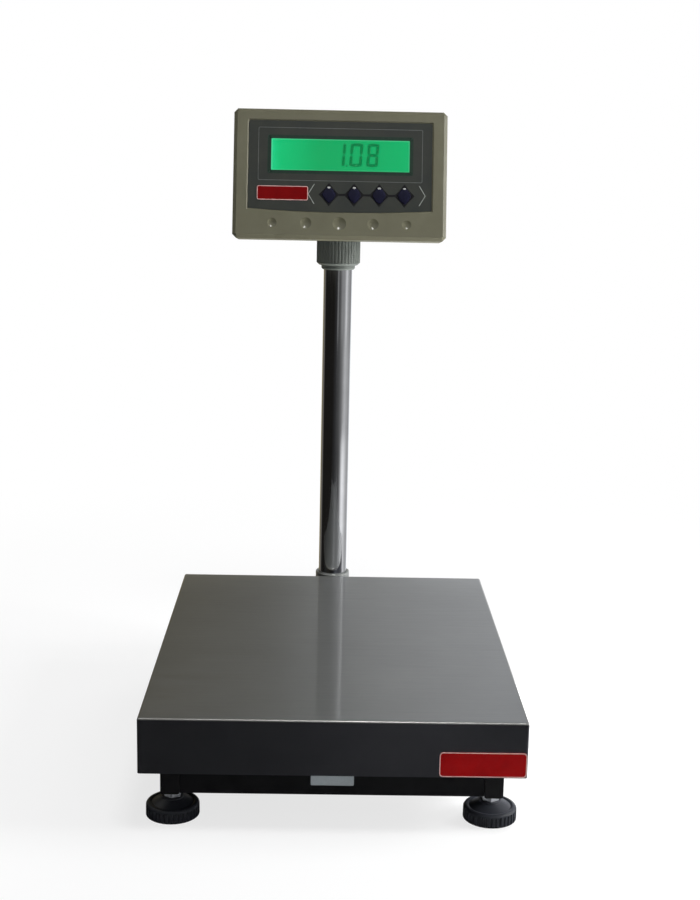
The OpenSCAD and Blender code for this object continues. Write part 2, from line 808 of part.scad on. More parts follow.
module front_housing() color("#6f6e5e") {
    cavity = front_draft + wall;
    at_head()
        difference() {
            hull() {
                outline(0, bevel_run, 1);
                outline(bevel_rise, 0);
                outline(front_depth - 0.01, front_draft);
            }
            difference() {
                centred(head_h / 2) along_y(face_wall, front_depth + cut)
                    polygon(round_rect(head_w - 2 * cavity, head_h - 2 * cavity, 2));
                boss_places() bar_y(boss_d, 0, front_depth + 2 * cut);
                board_boss_places() bar_y(board_boss_d, 0, board_y);
            }
            hull() {
                panel_slice(-cut, recess_slope * (1 + cut / panel_recess));
                panel_slice(panel_recess, 0);
            }
            centred(window_low + window_h / 2) along_y(0, face_wall + cut)
                polygon(round_rect(window_w + 2 * hole_gap, window_h + 2 * hole_gap, 1));
            key_places() along_y(0, face_wall + cut)
                polygon(diamond(key_w + 2 * seat_gap, key_h + 2 * seat_gap, key_round));
            for (i = [0:4])
                let (d = dimple_sizes[i], depth = dimple_depth * d / dimple_d,
                     r = (d * d / 4 + depth * depth) / (2 * depth))
                translate([(i - 2) * dimple_pitch, depth - r, dimple_z]) sphere(r = r);
            boss_places() bar_y(housing_screw_d + hole_gap, screw_end - cut, front_depth + cut);
            board_boss_places() bar_y(board_screw_d + hole_gap, board_y - board_screw_l - cut, board_y + cut);
        }
}

module housing_seal() color("#26262a") {
    lip = front_draft + 0.3;
    cavity = front_draft + wall;
    at_head()
        difference() {
            centred(head_h / 2) along_y(front_depth, rear_y)
                polygon(round_rect(head_w - 2 * lip, head_h - 2 * lip, head_corner, 1));
            centred(head_h / 2) along_y(front_depth - cut, rear_y + cut)
                polygon(round_rect(head_w - 2 * cavity, head_h - 2 * cavity, 2));
        }
}

// The rear housing's outer or inner form: the outline, drawn in towards the rear
module rear_form(inset, front, rear) {
    hull() {
        outline(front, front_draft + inset);
        outline(rear - 0.01, rear_inset + inset);
    }
}

module notch(grow) {
    translate([-notch_half - grow, notch_y - grow, -cut])
        cube([2 * (notch_half + grow), head_depth, notch_top + grow + cut]);
}

module rear_housing() color("#6f6e5e") {
    rib_t = 4;
    at_head()
        difference() {
            union() {
                difference() {
                    rear_form(0, rear_y, head_depth);
                    difference() {
                        rear_form(wall, rear_y - cut, head_depth - wall);
                        notch(wall);
                    }
                }
                intersection() {
                    rear_form(wall / 2, rear_y, head_depth - wall / 2);
                    union() {
                        boss_places() bar_y(boss_d, rear_y, head_depth);
                        mirrored_x() translate([0, pivot_back, pivot_up])
                            bar_x(pin_d + 8, notch_half + wall / 2, pin_half + 3);
                        for (s = [-1, 1])
                            translate([battery_x + s * battery_w / 4 - rib_t / 2, battery_y, 0])
                                cube([rib_t, battery_d + wall / 2, battery_low]);
                    }
                }
            }
            notch(0);
            mirrored_x() translate([0, pivot_back, pivot_up])
                bar_x(pin_d + 2 * run_gap, notch_half - cut, pin_half + 0.5);
            boss_places() {
                bar_y(housing_screw_d + 6 * hole_gap, rear_y - cut, head_depth + cut);
                bar_y(housing_screw_head + 5 * hole_gap, screw_seat, head_depth + cut);
            }
            translate([inlet_x, 0, inlet_z])
                bar_y(inlet_d + 2 * run_gap, head_depth - wall - cut, head_depth + cut);
            translate([0, 0, notch_top - 8]) bar_y(cable_bore, rear_y - cut, notch_y + cut);
        }
}

module housing_screws() color("#c4c6c8") {
    at_head()
        boss_places() {
            bar_y(housing_screw_d, screw_end, screw_seat + 0.1);
            bar_y(housing_screw_head, screw_seat, screw_seat + 3);
        }
}

module panel_overlay() color("#3b3d3d") {
    at_head()
        difference() {
            centred(panel_low) along_y(panel_recess - overlay_t, panel_recess)
                polygon(panel_outline(panel_w - 2 * hole_gap, panel_h - hole_gap, panel_bow - hole_gap, 3));
            centred(window_low + window_h / 2) along_y(-cut, face_wall)
                polygon(round_rect(window_w + 0.1, window_h + 0.1, 1));
            key_places() along_y(-cut, face_wall)
                polygon(diamond(key_w + 2 * seat_gap, key_h + 2 * seat_gap, key_round));
        }
}

module display_window() color("#27433a") {
    at_head() centred(window_low + window_h / 2)
        along_y(panel_recess - overlay_t, lens_back) polygon(round_rect(window_w, window_h, 1));
}

module lcd_panel() color("#1eb56d") {
    at_head() centred(window_low + window_h / 2)
        along_y(lens_back, lens_back + lcd_t)
            polygon(round_rect(window_w + 2 * lcd_rim, window_h + 2 * lcd_rim, 0.5));
}

// Black frame that seats the display against the window and stands on the board
module lcd_holder() color("#161618") {
    at_head() centred(window_low + window_h / 2)
        difference() {
            along_y(lens_back, board_y)
                polygon(round_rect(window_w + 2 * holder_rim, window_h + 2 * holder_rim, 1));
            along_y(lens_back - cut, lens_back + lcd_t)
                polygon(round_rect(window_w + 2 * lcd_rim + 0.2, window_h + 2 * lcd_rim + 0.2, 0.6));
            along_y(lens_back, board_y + cut)
                polygon(round_rect(window_w - 4, window_h - 4, 1));
        }
}

module main_board() color("#1f5a36") {
    at_head()
        difference() {
            centred((board_low + board_high) / 2) along_y(board_y, board_y + board_t)
                polygon(round_rect(board_w, board_high - board_low, 2));
            board_boss_places() bar_y(board_screw_d + 5 * hole_gap, board_y - cut, board_y + board_t + cut);
        }
}

module board_screws() color("#c4c6c8") {
    at_head()
        board_boss_places() {
            bar_y(board_screw_d, board_y - board_screw_l, board_y + board_t + 0.1);
            bar_y(board_screw_head, board_y + board_t, board_y + board_t + 2);
        }
}

module key_switches() color("#2a2a2c") {
    at_head()
        key_places()
            along_y(switch_top, board_y) polygon(round_rect(switch_w, switch_w, 0.5));
}

// A key: a soft diamond cap through the panel, a flange behind the wall and a stem to its switch
module key(i) color("#20224c") {
    at_head()
        translate([key_x + (i - 1) * key_pitch, 0, key_z]) {
            shoulder = 0.5;
            top = panel_recess - overlay_t - key_proud;
            along_y(top + shoulder, face_wall + seat_gap + 0.5) polygon(diamond(key_w, key_h, key_round));
            along_y(top, top + shoulder + 0.1) polygon(diamond(key_w - 1.2, key_h - 1.2, key_round));
            along_y(face_wall + seat_gap, face_wall + seat_gap + key_flange)
                polygon(diamond(key_w + 4, key_h + 4, key_round));
            bar_y(stem_d, face_wall + seat_gap + 0.5, face_wall + seat_gap + key_flange + key_stem);
        }
}

module battery() color("#2c2d31") {
    at_head()
        translate([battery_x - battery_w / 2, battery_y, battery_low])
            cube([battery_w, battery_d, battery_h]);
}

module power_inlet() color("#1a1a1c") {
    at_head()
        translate([inlet_x, 0, inlet_z])
            difference() {
                union() {
                    bar_y(inlet_d, head_depth - inlet_l, head_depth + 0.1);
                    bar_y(inlet_d + 5, head_depth, head_depth + inlet_rim);
                }
                bar_y(inlet_pin_d, head_depth - inlet_pin_l, head_depth + inlet_rim + cut);
            }
}

// Weighing pan and its bare badge
module platform_pan() color("#85888a") {
    inner_r = pan_bend - pan_t;
    translate([0, pan_y, 0])
        difference() {
            intersection() {
                along_y(-pan_d / 2, pan_d / 2) polygon(folded(pan_w, pan_low, pan_top, pan_bend));
                along_x(-pan_w, pan_w) polygon(folded(pan_d, pan_low - cut, pan_top, pan_bend));
            }
            intersection() {
                along_y(-pan_d / 2 + pan_t, pan_d / 2 - pan_t)
                    polygon(folded(pan_w - 2 * pan_t, pan_low - cut, pan_top - pan_t, inner_r));
                along_x(-pan_w, pan_w)
                    polygon(folded(pan_d - 2 * pan_t, pan_low - 2 * cut, pan_top - pan_t, inner_r));
            }
        }
}

module front_badge() color("#b01512") {
    translate([pan_w / 2 - badge_margin - badge_w / 2, front_y, pan_low + badge_margin + badge_h / 2])
        along_y(-badge_t, 0) polygon(round_rect(badge_w, badge_h, 3));
}

side_rails();
front_beam();
rear_beam();
base_spine();
rail_end_caps();
foot_bushes();
load_cell();
cell_spacer_lower();
cell_spacer_upper();
cell_bolts_lower();
cell_bolts_upper();
upper_spine();
upper_arms();
pan_bumpers();
overload_stops();
stop_nuts();
level_body();
level_lens();
type_plate();
column_bracket();
bracket_bolts();
column_socket();
socket_screws();
column_tube();
column_cap();
platform_pan();
front_badge();
foot_sole(-1, -1);  // foot_sole_front_left
foot_sole(1, -1);  // foot_sole_front_right
foot_sole(-1, 1);  // foot_sole_rear_left
foot_sole(1, 1);  // foot_sole_rear_right
foot_pad(-1, -1);  // foot_pad_front_left
foot_pad(1, -1);  // foot_pad_front_right
foot_pad(-1, 1);  // foot_pad_rear_left
foot_pad(1, 1);  // foot_pad_rear_right
foot_stud(-1, -1);  // foot_stud_front_left
foot_stud(1, -1);  // foot_stud_front_right
foot_stud(-1, 1);  // foot_stud_rear_left
foot_stud(1, 1);  // foot_stud_rear_right
tilt_yoke();
tilt_pin();
friction_washers();
swivel_collar();
front_housing();
rear_housing();
housing_seal();
housing_screws();
panel_overlay();
display_window();
lcd_panel();
lcd_holder();
main_board();
board_screws();
key_switches();
battery();
power_inlet();
key(1);  // key_1
key(2);  // key_2
key(3);  // key_3
key(4);  // key_4
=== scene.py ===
import json
import math

import bmesh
import bpy
from mathutils import Matrix, Vector

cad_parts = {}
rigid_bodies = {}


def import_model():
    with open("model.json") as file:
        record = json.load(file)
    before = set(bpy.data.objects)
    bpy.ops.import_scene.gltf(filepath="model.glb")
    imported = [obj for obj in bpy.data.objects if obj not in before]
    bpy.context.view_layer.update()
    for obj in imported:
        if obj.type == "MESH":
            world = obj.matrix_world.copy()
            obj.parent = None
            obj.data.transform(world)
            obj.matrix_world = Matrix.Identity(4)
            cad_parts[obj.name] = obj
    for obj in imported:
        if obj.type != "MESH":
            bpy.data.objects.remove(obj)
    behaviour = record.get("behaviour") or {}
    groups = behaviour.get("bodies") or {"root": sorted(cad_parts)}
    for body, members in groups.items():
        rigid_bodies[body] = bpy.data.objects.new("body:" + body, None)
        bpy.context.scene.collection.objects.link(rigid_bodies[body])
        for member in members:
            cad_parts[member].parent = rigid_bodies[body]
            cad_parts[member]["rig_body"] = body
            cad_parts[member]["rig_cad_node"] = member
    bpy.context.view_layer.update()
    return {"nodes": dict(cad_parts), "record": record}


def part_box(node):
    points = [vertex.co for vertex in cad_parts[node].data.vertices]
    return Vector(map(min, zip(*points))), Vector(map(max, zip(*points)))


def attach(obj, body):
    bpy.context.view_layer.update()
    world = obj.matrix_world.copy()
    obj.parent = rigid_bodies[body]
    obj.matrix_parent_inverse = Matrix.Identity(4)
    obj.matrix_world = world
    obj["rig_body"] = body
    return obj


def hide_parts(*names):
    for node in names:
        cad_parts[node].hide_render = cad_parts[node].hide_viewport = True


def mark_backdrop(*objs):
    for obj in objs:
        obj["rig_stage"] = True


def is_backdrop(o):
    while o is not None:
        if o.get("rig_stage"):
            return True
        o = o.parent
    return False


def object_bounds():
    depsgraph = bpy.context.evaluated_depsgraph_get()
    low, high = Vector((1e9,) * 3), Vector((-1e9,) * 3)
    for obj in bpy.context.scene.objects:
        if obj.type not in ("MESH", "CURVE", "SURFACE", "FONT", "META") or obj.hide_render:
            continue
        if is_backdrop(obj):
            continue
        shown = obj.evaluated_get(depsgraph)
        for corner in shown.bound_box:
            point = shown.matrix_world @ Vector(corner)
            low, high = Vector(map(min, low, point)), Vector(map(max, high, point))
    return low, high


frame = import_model()

# Studio: the camera stands before the pan, a little above the indicator's face, over a pale floor with a
# white surround. Soft lamps stand at the right, overhead and behind, with a small one for glints and one for
# light off the floor. A card in bands of grey stands all round and shows only in polished metal.
mm = 0.001
pan_low, pan_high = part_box("platform_pan")
tube_low, tube_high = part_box("column_tube")
column = (tube_low + tube_high) / 2
lit_point = Vector((0, 0, 0.35))
bright_side = (0.78, -0.20, 0.60)
floor_size = 60
card_radius, card_height, card_gap = 1.15, 2.0, 0.0003


def set_inputs(node, values):
    """Gives a shader node's sockets these values."""
    for socket, value in values.items():
        node.inputs[socket].default_value = value


def add_node(tree, kind, values=None, **settings):
    """A shader node with these socket values and settings."""
    node = tree.nodes.new(kind)
    for setting, value in settings.items():
        setattr(node, setting, value)
    set_inputs(node, values or {})
    return node


def add_ramp(tree, source, stops):
    """A colour ramp over these (position, colour) stops, fed from a socket. Returns its colour socket."""
    ramp = tree.nodes.new("ShaderNodeValToRGB")
    tree.links.new(source, ramp.inputs["Fac"])
    marks = ramp.color_ramp.elements
    while len(marks) < len(stops):
        marks.new(0.5)
    for mark, (position, colour) in zip(marks, stops):
        mark.position = position
        mark.color = (*colour, 1)
    return ramp.outputs["Color"]


def seen_directly(tree):
    """1 for camera, mirror and glass rays, 0 for light that scatters. Returns the socket."""
    rays = tree.nodes.new("ShaderNodeLightPath")
    first = add_node(tree, "ShaderNodeMath", operation="MAXIMUM")
    both = add_node(tree, "ShaderNodeMath", operation="MAXIMUM")
    tree.links.new(rays.outputs["Is Camera Ray"], first.inputs[0])
    tree.links.new(rays.outputs["Is Glossy Ray"], first.inputs[1])
    tree.links.new(first.outputs[0], both.inputs[0])
    tree.links.new(rays.outputs["Is Transmission Ray"], both.inputs[1])
    return both.outputs[0]


def new_material(name):
    """A material with nodes. Returns it, its tree and its main shader."""
    material = bpy.data.materials.new(name)
    material.use_nodes = True
    return material, material.node_tree, material.node_tree.nodes["Principled BSDF"]


camera_place = Vector((-14.9 * mm, pan_low.y - 1368.7 * mm, pan_high.z + 574.7 * mm))
camera_pitch, camera_yaw, camera_roll = 0.2107, -0.0187, 0.0212
ahead = Vector((-math.sin(camera_yaw), math.cos(camera_yaw), 0))
across = Vector((math.cos(camera_yaw), math.sin(camera_yaw), 0))
sight = ahead * math.cos(camera_pitch) - Vector((0, 0, math.sin(camera_pitch)))
rise = ahead * math.sin(camera_pitch) + Vector((0, 0, math.cos(camera_pitch)))
camera_right = across * math.cos(camera_roll) + rise * math.sin(camera_roll)
camera_top = rise * math.cos(camera_roll) - across * math.sin(camera_roll)
bpy.ops.object.camera_add()
camera = bpy.context.object
camera.matrix_world = Matrix.Translation(camera_place) @ Matrix(
    (camera_right, camera_top, -sight)).transposed().to_4x4()
camera.data.lens = 57.44
camera.data.sensor_width = 36.0
scene = bpy.context.scene
scene.camera = camera
scene.view_settings.view_transform = "Standard"

scene.world = bpy.data.worlds.new("studio")
scene.world.use_nodes = True
tree = scene.world.node_tree
soft_light = tree.nodes["Background"]
sky = tree.nodes.new("ShaderNodeTexCoord")
facing = add_node(tree, "ShaderNodeVectorMath", {1: bright_side}, operation="DOT_PRODUCT")
turning = add_node(tree, "ShaderNodeMapRange", {"From Min": -1.0, "From Max": 1.0})
tree.links.new(sky.outputs["Generated"], facing.inputs[0])
tree.links.new(facing.outputs["Value"], turning.inputs["Value"])
sky_shades = add_ramp(tree, turning.outputs["Result"], (
    (0.0, (0.01, 0.01, 0.008)), (0.35, (0.022, 0.021, 0.018)), (0.6, (0.115, 0.115, 0.11)),
    (1.0, (0.45, 0.465, 0.49))))
tree.links.new(sky_shades, soft_light.inputs["Color"])
soft_light.inputs["Strength"].default_value = 1.0
white = add_node(tree, "ShaderNodeBackground", {"Color": (1, 1, 1, 1), "Strength": 1.0})
either = tree.nodes.new("ShaderNodeMixShader")
tree.links.new(seen_directly(tree), either.inputs["Fac"])
tree.links.new(soft_light.outputs[0], either.inputs[1])
tree.links.new(white.outputs[0], either.inputs[2])
tree.links.new(either.outputs[0], tree.nodes["World Output"].inputs["Surface"])

for name, spot, size, watts, scattered, mirrored in (
        ("key", (2.1, -0.2, 1.2), 0.9, 62, True, True),
        ("overhead", (0.25, -0.8, 2.5), 0.6, 25, True, False),
        ("glint", (0.17, -0.49, 1.9), 0.35, 6, False, True),
        ("rear", (1.0, 2.1, 1.5), 1.2, 24, True, False),
        ("bounce", (0.35, 0.12, 0.15), 0.3, 6, True, False)):
    bpy.ops.object.light_add(type="AREA", location=spot)
    lamp = bpy.context.object
    lamp.name = name
    lamp.data.size = size
    lamp.data.energy = watts
    lamp.visible_diffuse = scattered
    lamp.visible_glossy = mirrored
    lamp.visible_camera = False
    lamp.rotation_mode = "QUATERNION"
    lamp.rotation_quaternion = (lit_point - Vector(spot)).to_track_quat("-Z", "Y")

bpy.ops.mesh.primitive_plane_add(size=floor_size)
floor = bpy.context.object
floor.name = "floor"
floor_paint, tree, matt = new_material("floor_paint")
set_inputs(matt, {"Base Color": (0.9, 0.9, 0.9, 1), "Roughness": 1.0, "Specular IOR Level": 0.0})
glow = add_node(tree, "ShaderNodeEmission", {"Color": (1, 1, 1, 1), "Strength": 1.0})
place = tree.nodes.new("ShaderNodeTexCoord")
reach = add_node(tree, "ShaderNodeVectorMath", operation="LENGTH")
far = add_node(tree, "ShaderNodeMapRange", {"From Min": 0.35, "From Max": 1.3, "To Min": 0.75, "To Max": 1.0},
               interpolation_type="SMOOTHSTEP")
share = add_node(tree, "ShaderNodeMath", operation="MULTIPLY")
either = tree.nodes.new("ShaderNodeMixShader")
tree.links.new(place.outputs["Object"], reach.inputs[0])
tree.links.new(reach.outputs["Value"], far.inputs["Value"])
tree.links.new(far.outputs["Result"], share.inputs[1])
tree.links.new(seen_directly(tree), share.inputs[0])
tree.links.new(share.outputs[0], either.inputs["Fac"])
tree.links.new(matt.outputs[0], either.inputs[1])
tree.links.new(glow.outputs[0], either.inputs[2])
tree.links.new(either.outputs[0], tree.nodes["Material Output"].inputs["Surface"])
floor.data.materials.append(floor_paint)

bpy.ops.mesh.primitive_cylinder_add(vertices=96, radius=card_radius, depth=card_height,
                                    location=(column.x, column.y, card_height / 2 + card_gap))
card = bpy.context.object
card.name = "graded_card"
bpy.ops.object.transform_apply(location=True, rotation=True, scale=True)
card_paint, tree, _ = new_material("card_paint")
place = tree.nodes.new("ShaderNodeTexCoord")
shifted = add_node(tree, "ShaderNodeVectorMath", {1: (-column.x, -column.y, 0)}, operation="ADD")
axes = tree.nodes.new("ShaderNodeSeparateXYZ")
forward = add_node(tree, "ShaderNodeMath", {1: -1.0}, operation="MULTIPLY")
bearing = add_node(tree, "ShaderNodeMath", operation="ARCTAN2")
round_trip = add_node(tree, "ShaderNodeMapRange", {"From Min": -math.pi, "From Max": math.pi})
tree.links.new(place.outputs["Object"], shifted.inputs[0])
tree.links.new(shifted.outputs[0], axes.inputs[0])
tree.links.new(axes.outputs["Y"], forward.inputs[0])
tree.links.new(axes.outputs["X"], bearing.inputs[0])
tree.links.new(forward.outputs[0], bearing.inputs[1])
tree.links.new(bearing.outputs[0], round_trip.inputs["Value"])
left_stops = (
    (0.0, (0.62, 0.63, 0.60)), (0.055, (0.36, 0.30, 0.15)), (0.12, (0.18, 0.16, 0.12)),
    (0.17, (0.16, 0.15, 0.14)), (0.20, (0.012, 0.011, 0.010)), (0.43, (0.013, 0.012, 0.011)),
    (0.49, (0.032, 0.032, 0.034)))
back_stops = ((0.89, (0.60, 0.61, 0.63)), (0.94, (1.32, 1.35, 1.40)), (1.0, (0.62, 0.63, 0.60)))
right_stops = (
    ((0.58, 0.085), (0.605, 0.17), (0.625, 0.36), (0.65, 0.78), (0.672, 1.05), (0.70, 0.98), (0.73, 0.86),
     (0.764, 0.62), (0.80, 0.47), (0.85, 0.42)),
    ((0.57, 0.09), (0.62, 0.19), (0.645, 0.28), (0.672, 0.42), (0.70, 0.53), (0.73, 0.53), (0.762, 0.46),
     (0.80, 0.42), (0.842, 0.33)),
    ((0.503, 0.10), (0.518, 0.28), (0.533, 0.09), (0.565, 0.10), (0.587, 0.20), (0.61, 0.29), (0.66, 0.30),
     (0.688, 0.50), (0.716, 0.80), (0.747, 0.50), (0.78, 0.39), (0.867, 0.28)))
low_shades, middle_shades, top_shades = (
    add_ramp(tree, round_trip.outputs[0],
             (*left_stops, *((stop, (grey, grey, 1.02 * grey)) for stop, grey in stops), *back_stops))
    for stops in right_stops)
wall_shades = add_ramp(tree, round_trip.outputs[0], (
    (0.0, (0.26, 0.265, 0.26)), (0.018, (0.11, 0.105, 0.085)), (0.055, (0.08, 0.068, 0.035)),
    (0.12, (0.05, 0.045, 0.03)), (0.20, (0.12, 0.12, 0.11)), (0.43, (0.10, 0.10, 0.09)),
    (0.50, (0.12, 0.12, 0.11)), (0.66, (0.40, 0.40, 0.40)), (0.735, (0.62, 0.62, 0.62)),
    (0.757, (1.50, 1.50, 1.50)), (0.78, (0.50, 0.50, 0.50)), (0.86, (0.22, 0.22, 0.23)),
    (0.90, (0.36, 0.365, 0.38)), (0.945, (0.62, 0.635, 0.655)), (0.982, (0.42, 0.425, 0.43)),
    (1.0, (0.26, 0.265, 0.26))))
ceiling_shades = add_ramp(tree, round_trip.outputs[0], (
    (0.0, (0.07, 0.07, 0.07)), (0.055, (0.045, 0.04, 0.03)), (0.13, (0.05, 0.05, 0.045)),
    (0.22, (0.60, 0.60, 0.58)), (0.43, (0.60, 0.60, 0.58)), (0.50, (0.45, 0.45, 0.44)),
    (0.66, (0.30, 0.30, 0.30)), (0.86, (0.10, 0.10, 0.105)), (0.94, (0.16, 0.165, 0.17)),
    (1.0, (0.07, 0.07, 0.07))))
shades = low_shades
for above, low, high in ((middle_shades, 0.055, 0.10), (top_shades, 0.27, 0.32), (wall_shades, 0.44, 0.50),
                         (ceiling_shades, 0.88, 1.02)):
    level = add_node(tree, "ShaderNodeMapRange", {"From Min": low, "From Max": high})
    blend = add_node(tree, "ShaderNodeMix", data_type="RGBA")
    tree.links.new(axes.outputs["Z"], level.inputs["Value"])
    tree.links.new(level.outputs["Result"], blend.inputs[0])
    tree.links.new(shades, blend.inputs[6])
    tree.links.new(above, blend.inputs[7])
    shades = blend.outputs[2]
sheen = tree.nodes.new("ShaderNodeEmission")
tree.links.new(shades, sheen.inputs["Color"])
tree.links.new(sheen.outputs[0], tree.nodes["Material Output"].inputs["Surface"])
card.data.materials.append(card_paint)
card.visible_camera = False
card.visible_diffuse = False
card.visible_transmission = False
card.visible_shadow = False
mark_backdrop(floor, card)

# Levelling feet, four: a moulded black nylon pad with a knurled rim turns on a rubber sole. A zinc-plated
# stud with a hexagon is moulded into the pad and screws up into the rail.
feet = ("front_left", "front_right", "rear_left", "rear_right")
foot_ribs, rim_top = 36, 12.0 * mm
hexagon_low, hexagon_high, hexagon_reach = 21.5 * mm, 29.5 * mm, 9.8 * mm
thread_root, thread_ridge, thread_pitch = 4.1 * mm, 0.82 * mm, 1.5 * mm
thread_overlap, thread_start, thread_end = 0.18 * mm, 1.0 * mm, 3.0 * mm
smooth_angle = 35


def alone(piece):
    """Makes this the only selected object, and the active one."""
    bpy.ops.object.select_all(action="DESELECT")
    piece.select_set(True)
    bpy.context.view_layer.objects.active = piece


def pick(piece, kind, test):
    """In edit mode, selects just the faces, edges or vertices that pass the test."""
    bpy.ops.mesh.select_mode(type=kind)
    bpy.ops.mesh.select_all(action="DESELECT")
    work = bmesh.from_edit_mesh(piece.data)
    for part in {"FACE": work.faces, "EDGE": work.edges, "VERT": work.verts}[kind]:
        if test(part):
            part.select_set(True)
    bmesh.update_edit_mesh(piece.data)


def add_cylinder(low, high, radius, vertices, axis="Z"):
    """A round bar between two points on its axis, in edit mode."""
    bpy.ops.object.select_all(action="DESELECT")
    turned = {"Y": (math.pi / 2, 0, 0), "Z": (0, 0, 0)}[axis]
    bpy.ops.mesh.primitive_cylinder_add(vertices=vertices, radius=radius, depth=(high - low).length,
                                        location=(low + high) / 2, rotation=turned)
    bpy.ops.object.transform_apply(location=True, rotation=True, scale=True)
    bpy.ops.object.mode_set(mode="EDIT")
    return bpy.context.object


def add_post(spot, bottom, top, radius, vertices):
    """A round bar that stands over a spot, between two heights, in edit mode."""
    return add_cylinder(Vector((spot.x, spot.y, bottom)), Vector((spot.x, spot.y, top)), radius, vertices)


def step_in(*steps):
    """Insets the selected face again and again, by (inwards, upwards) in millimetres."""
    for inwards, upwards in steps:
        bpy.ops.mesh.inset(thickness=max(inwards, 0.001) * mm, depth=upwards * mm, use_even_offset=True)


def smooth(angle=smooth_angle):
    """Shades the active piece smooth, apart from edges sharper than the angle."""
    bpy.ops.object.shade_smooth_by_angle(angle=math.radians(angle))


def apply_modifier(piece, kind, **settings):
    """Adds a modifier with these settings and applies it."""
    bpy.ops.object.mode_set(mode="OBJECT")
    alone(piece)
    modifier = piece.modifiers.new(kind.lower(), kind)
    for setting, value in settings.items():
        setattr(modifier, setting, value)
    bpy.ops.object.modifier_apply(modifier=modifier.name)


def round_edges(piece, width, segments=2, angle=smooth_angle):
    """Rounds every edge sharper than the angle, and shades the rest smooth."""
    apply_modifier(piece, "BEVEL", width=width * mm, segments=segments, limit_method="ANGLE",
                   angle_limit=math.radians(angle), miter_outer="MITER_ARC")
    smooth(angle)


def join(first, *others):
    """Joins finished meshes into the first one."""
    alone(first)
    for piece in others:
        piece.select_set(True)
    bpy.ops.object.join()
    return first


def copy_of(piece, place):
    """A copy of a finished mesh, with its own data, in this place."""
    alone(piece)
    bpy.ops.object.duplicate()
    copy = bpy.context.object
    copy.matrix_world = place
    return copy


def fit(piece, name, body, slot, nodes, *materials):
    """Cleans a finished piece, names it, gives it its materials and fixes it to the body that carries it."""
    if bpy.context.object and bpy.context.object.mode != "OBJECT":
        bpy.ops.object.mode_set(mode="OBJECT")
    alone(piece)
    bpy.ops.object.transform_apply(location=True, rotation=True, scale=True)
    bpy.ops.object.mode_set(mode="EDIT")
    bpy.ops.mesh.select_all(action="SELECT")
    bpy.ops.mesh.remove_doubles(threshold=0.0005 * mm)
    bpy.ops.mesh.normals_make_consistent(inside=False)
    apply_modifier(piece, "WEIGHTED_NORMAL", keep_sharp=True)
    piece.name = piece.data.name = name
    for number, material in enumerate(materials):
        if number < len(piece.data.materials):
            piece.data.materials[number] = material
        else:
            piece.data.materials.append(material)
    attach(piece, body)
    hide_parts(*nodes)
    return piece


def skin(name, dark, light, rough, metallic=0.0, patch=25, grain=1800, relief=0.01, along=(1, 1, 1),
         gloss=0.5):
    """A material whose colour wanders between two shades in patches, with a fine grain in its roughness and
    relief. Patch and grain are in waves a metre, relief in millimetres, and along stretches the grain."""
    material, tree, shader = new_material(name)
    set_inputs(shader, {"Metallic": metallic, "Specular IOR Level": gloss})
    place = tree.nodes.new("ShaderNodeTexCoord")
    stretched = add_node(tree, "ShaderNodeMapping", {"Scale": along})
    tree.links.new(place.outputs["Object"], stretched.inputs["Vector"])
    patches = add_node(tree, "ShaderNodeTexNoise", {"Scale": patch, "Detail": 4.0, "Roughness": 0.6})
    grains = add_node(tree, "ShaderNodeTexNoise", {"Scale": grain, "Detail": 3.0, "Roughness": 0.55})
    tree.links.new(place.outputs["Object"], patches.inputs["Vector"])
    tree.links.new(stretched.outputs["Vector"], grains.inputs["Vector"])
    colours = add_ramp(tree, patches.outputs["Fac"], ((0.3, dark), (0.7, light)))
    tree.links.new(colours, shader.inputs["Base Color"])
    wear = 0.06
    worn = add_node(tree, "ShaderNodeMapRange", {
        "From Min": 0.3, "From Max": 0.7, "To Min": rough - wear, "To Max": rough + wear})
    tree.links.new(grains.outputs["Fac"], worn.inputs["Value"])
    tree.links.new(worn.outputs["Result"], shader.inputs["Roughness"])
    bumps = add_node(tree, "ShaderNodeBump", {"Strength": 1.0, "Distance": relief * mm})
    tree.links.new(grains.outputs["Fac"], bumps.inputs["Height"])
    tree.links.new(bumps.outputs["Normal"], shader.inputs["Normal"])
    return material


nylon = skin("black_nylon", (0.025, 0.027, 0.034), (0.036, 0.039, 0.048), 0.36, grain=1400, relief=0.012,
             gloss=0.42)
rubber = skin("black_rubber", (0.008, 0.008, 0.008), (0.014, 0.014, 0.014), 0.72, grain=2600, relief=0.02)
zinc = skin("zinc_plating", (0.58, 0.60, 0.64), (0.72, 0.74, 0.78), 0.40, metallic=0.5, patch=180,
            relief=0.004)
middle = Vector((0, 0, 0))
low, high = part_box("foot_pad_" + feet[0])
pad = add_post(middle, low.z, rim_top, (high.x - low.x) / 2, 2 * foot_ribs)
pick(pad, "FACE", lambda face: abs(face.normal.z) < 0.1 and face.index % 2 == 0)
bpy.ops.mesh.inset(thickness=0.30 * mm, depth=-1.5 * mm, use_individual=True)
pick(pad, "FACE", lambda face: face.normal.z > 0.99)
step_in((0.4, 1.1), (0.8, 1.1), (1.3, 0.8), (1.5, 0.2), (1.2, -0.4), (0.9, -0.5), (0.9, 0.2), (8.0, 4.4),
        (1.5, 0.8), (0.6, 1.8))
pick(pad, "FACE", lambda face: face.normal.z < -0.99)
step_in((4.1, 0.0), (0.05, -2.04))
round_edges(pad, 0.3)

low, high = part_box("foot_sole_" + feet[0])
sole = add_post(middle, low.z, high.z, (high.x - low.x) / 2, 72)
pick(sole, "FACE", lambda face: face.normal.z < -0.99)
step_in((3.0, 0.0), (0.3, -0.7), (2.2, 0.0), (0.3, 0.7), (4.0, 0.0), (0.3, -0.7), (2.2, 0.0), (0.3, 0.7))
round_edges(sole, 0.25)

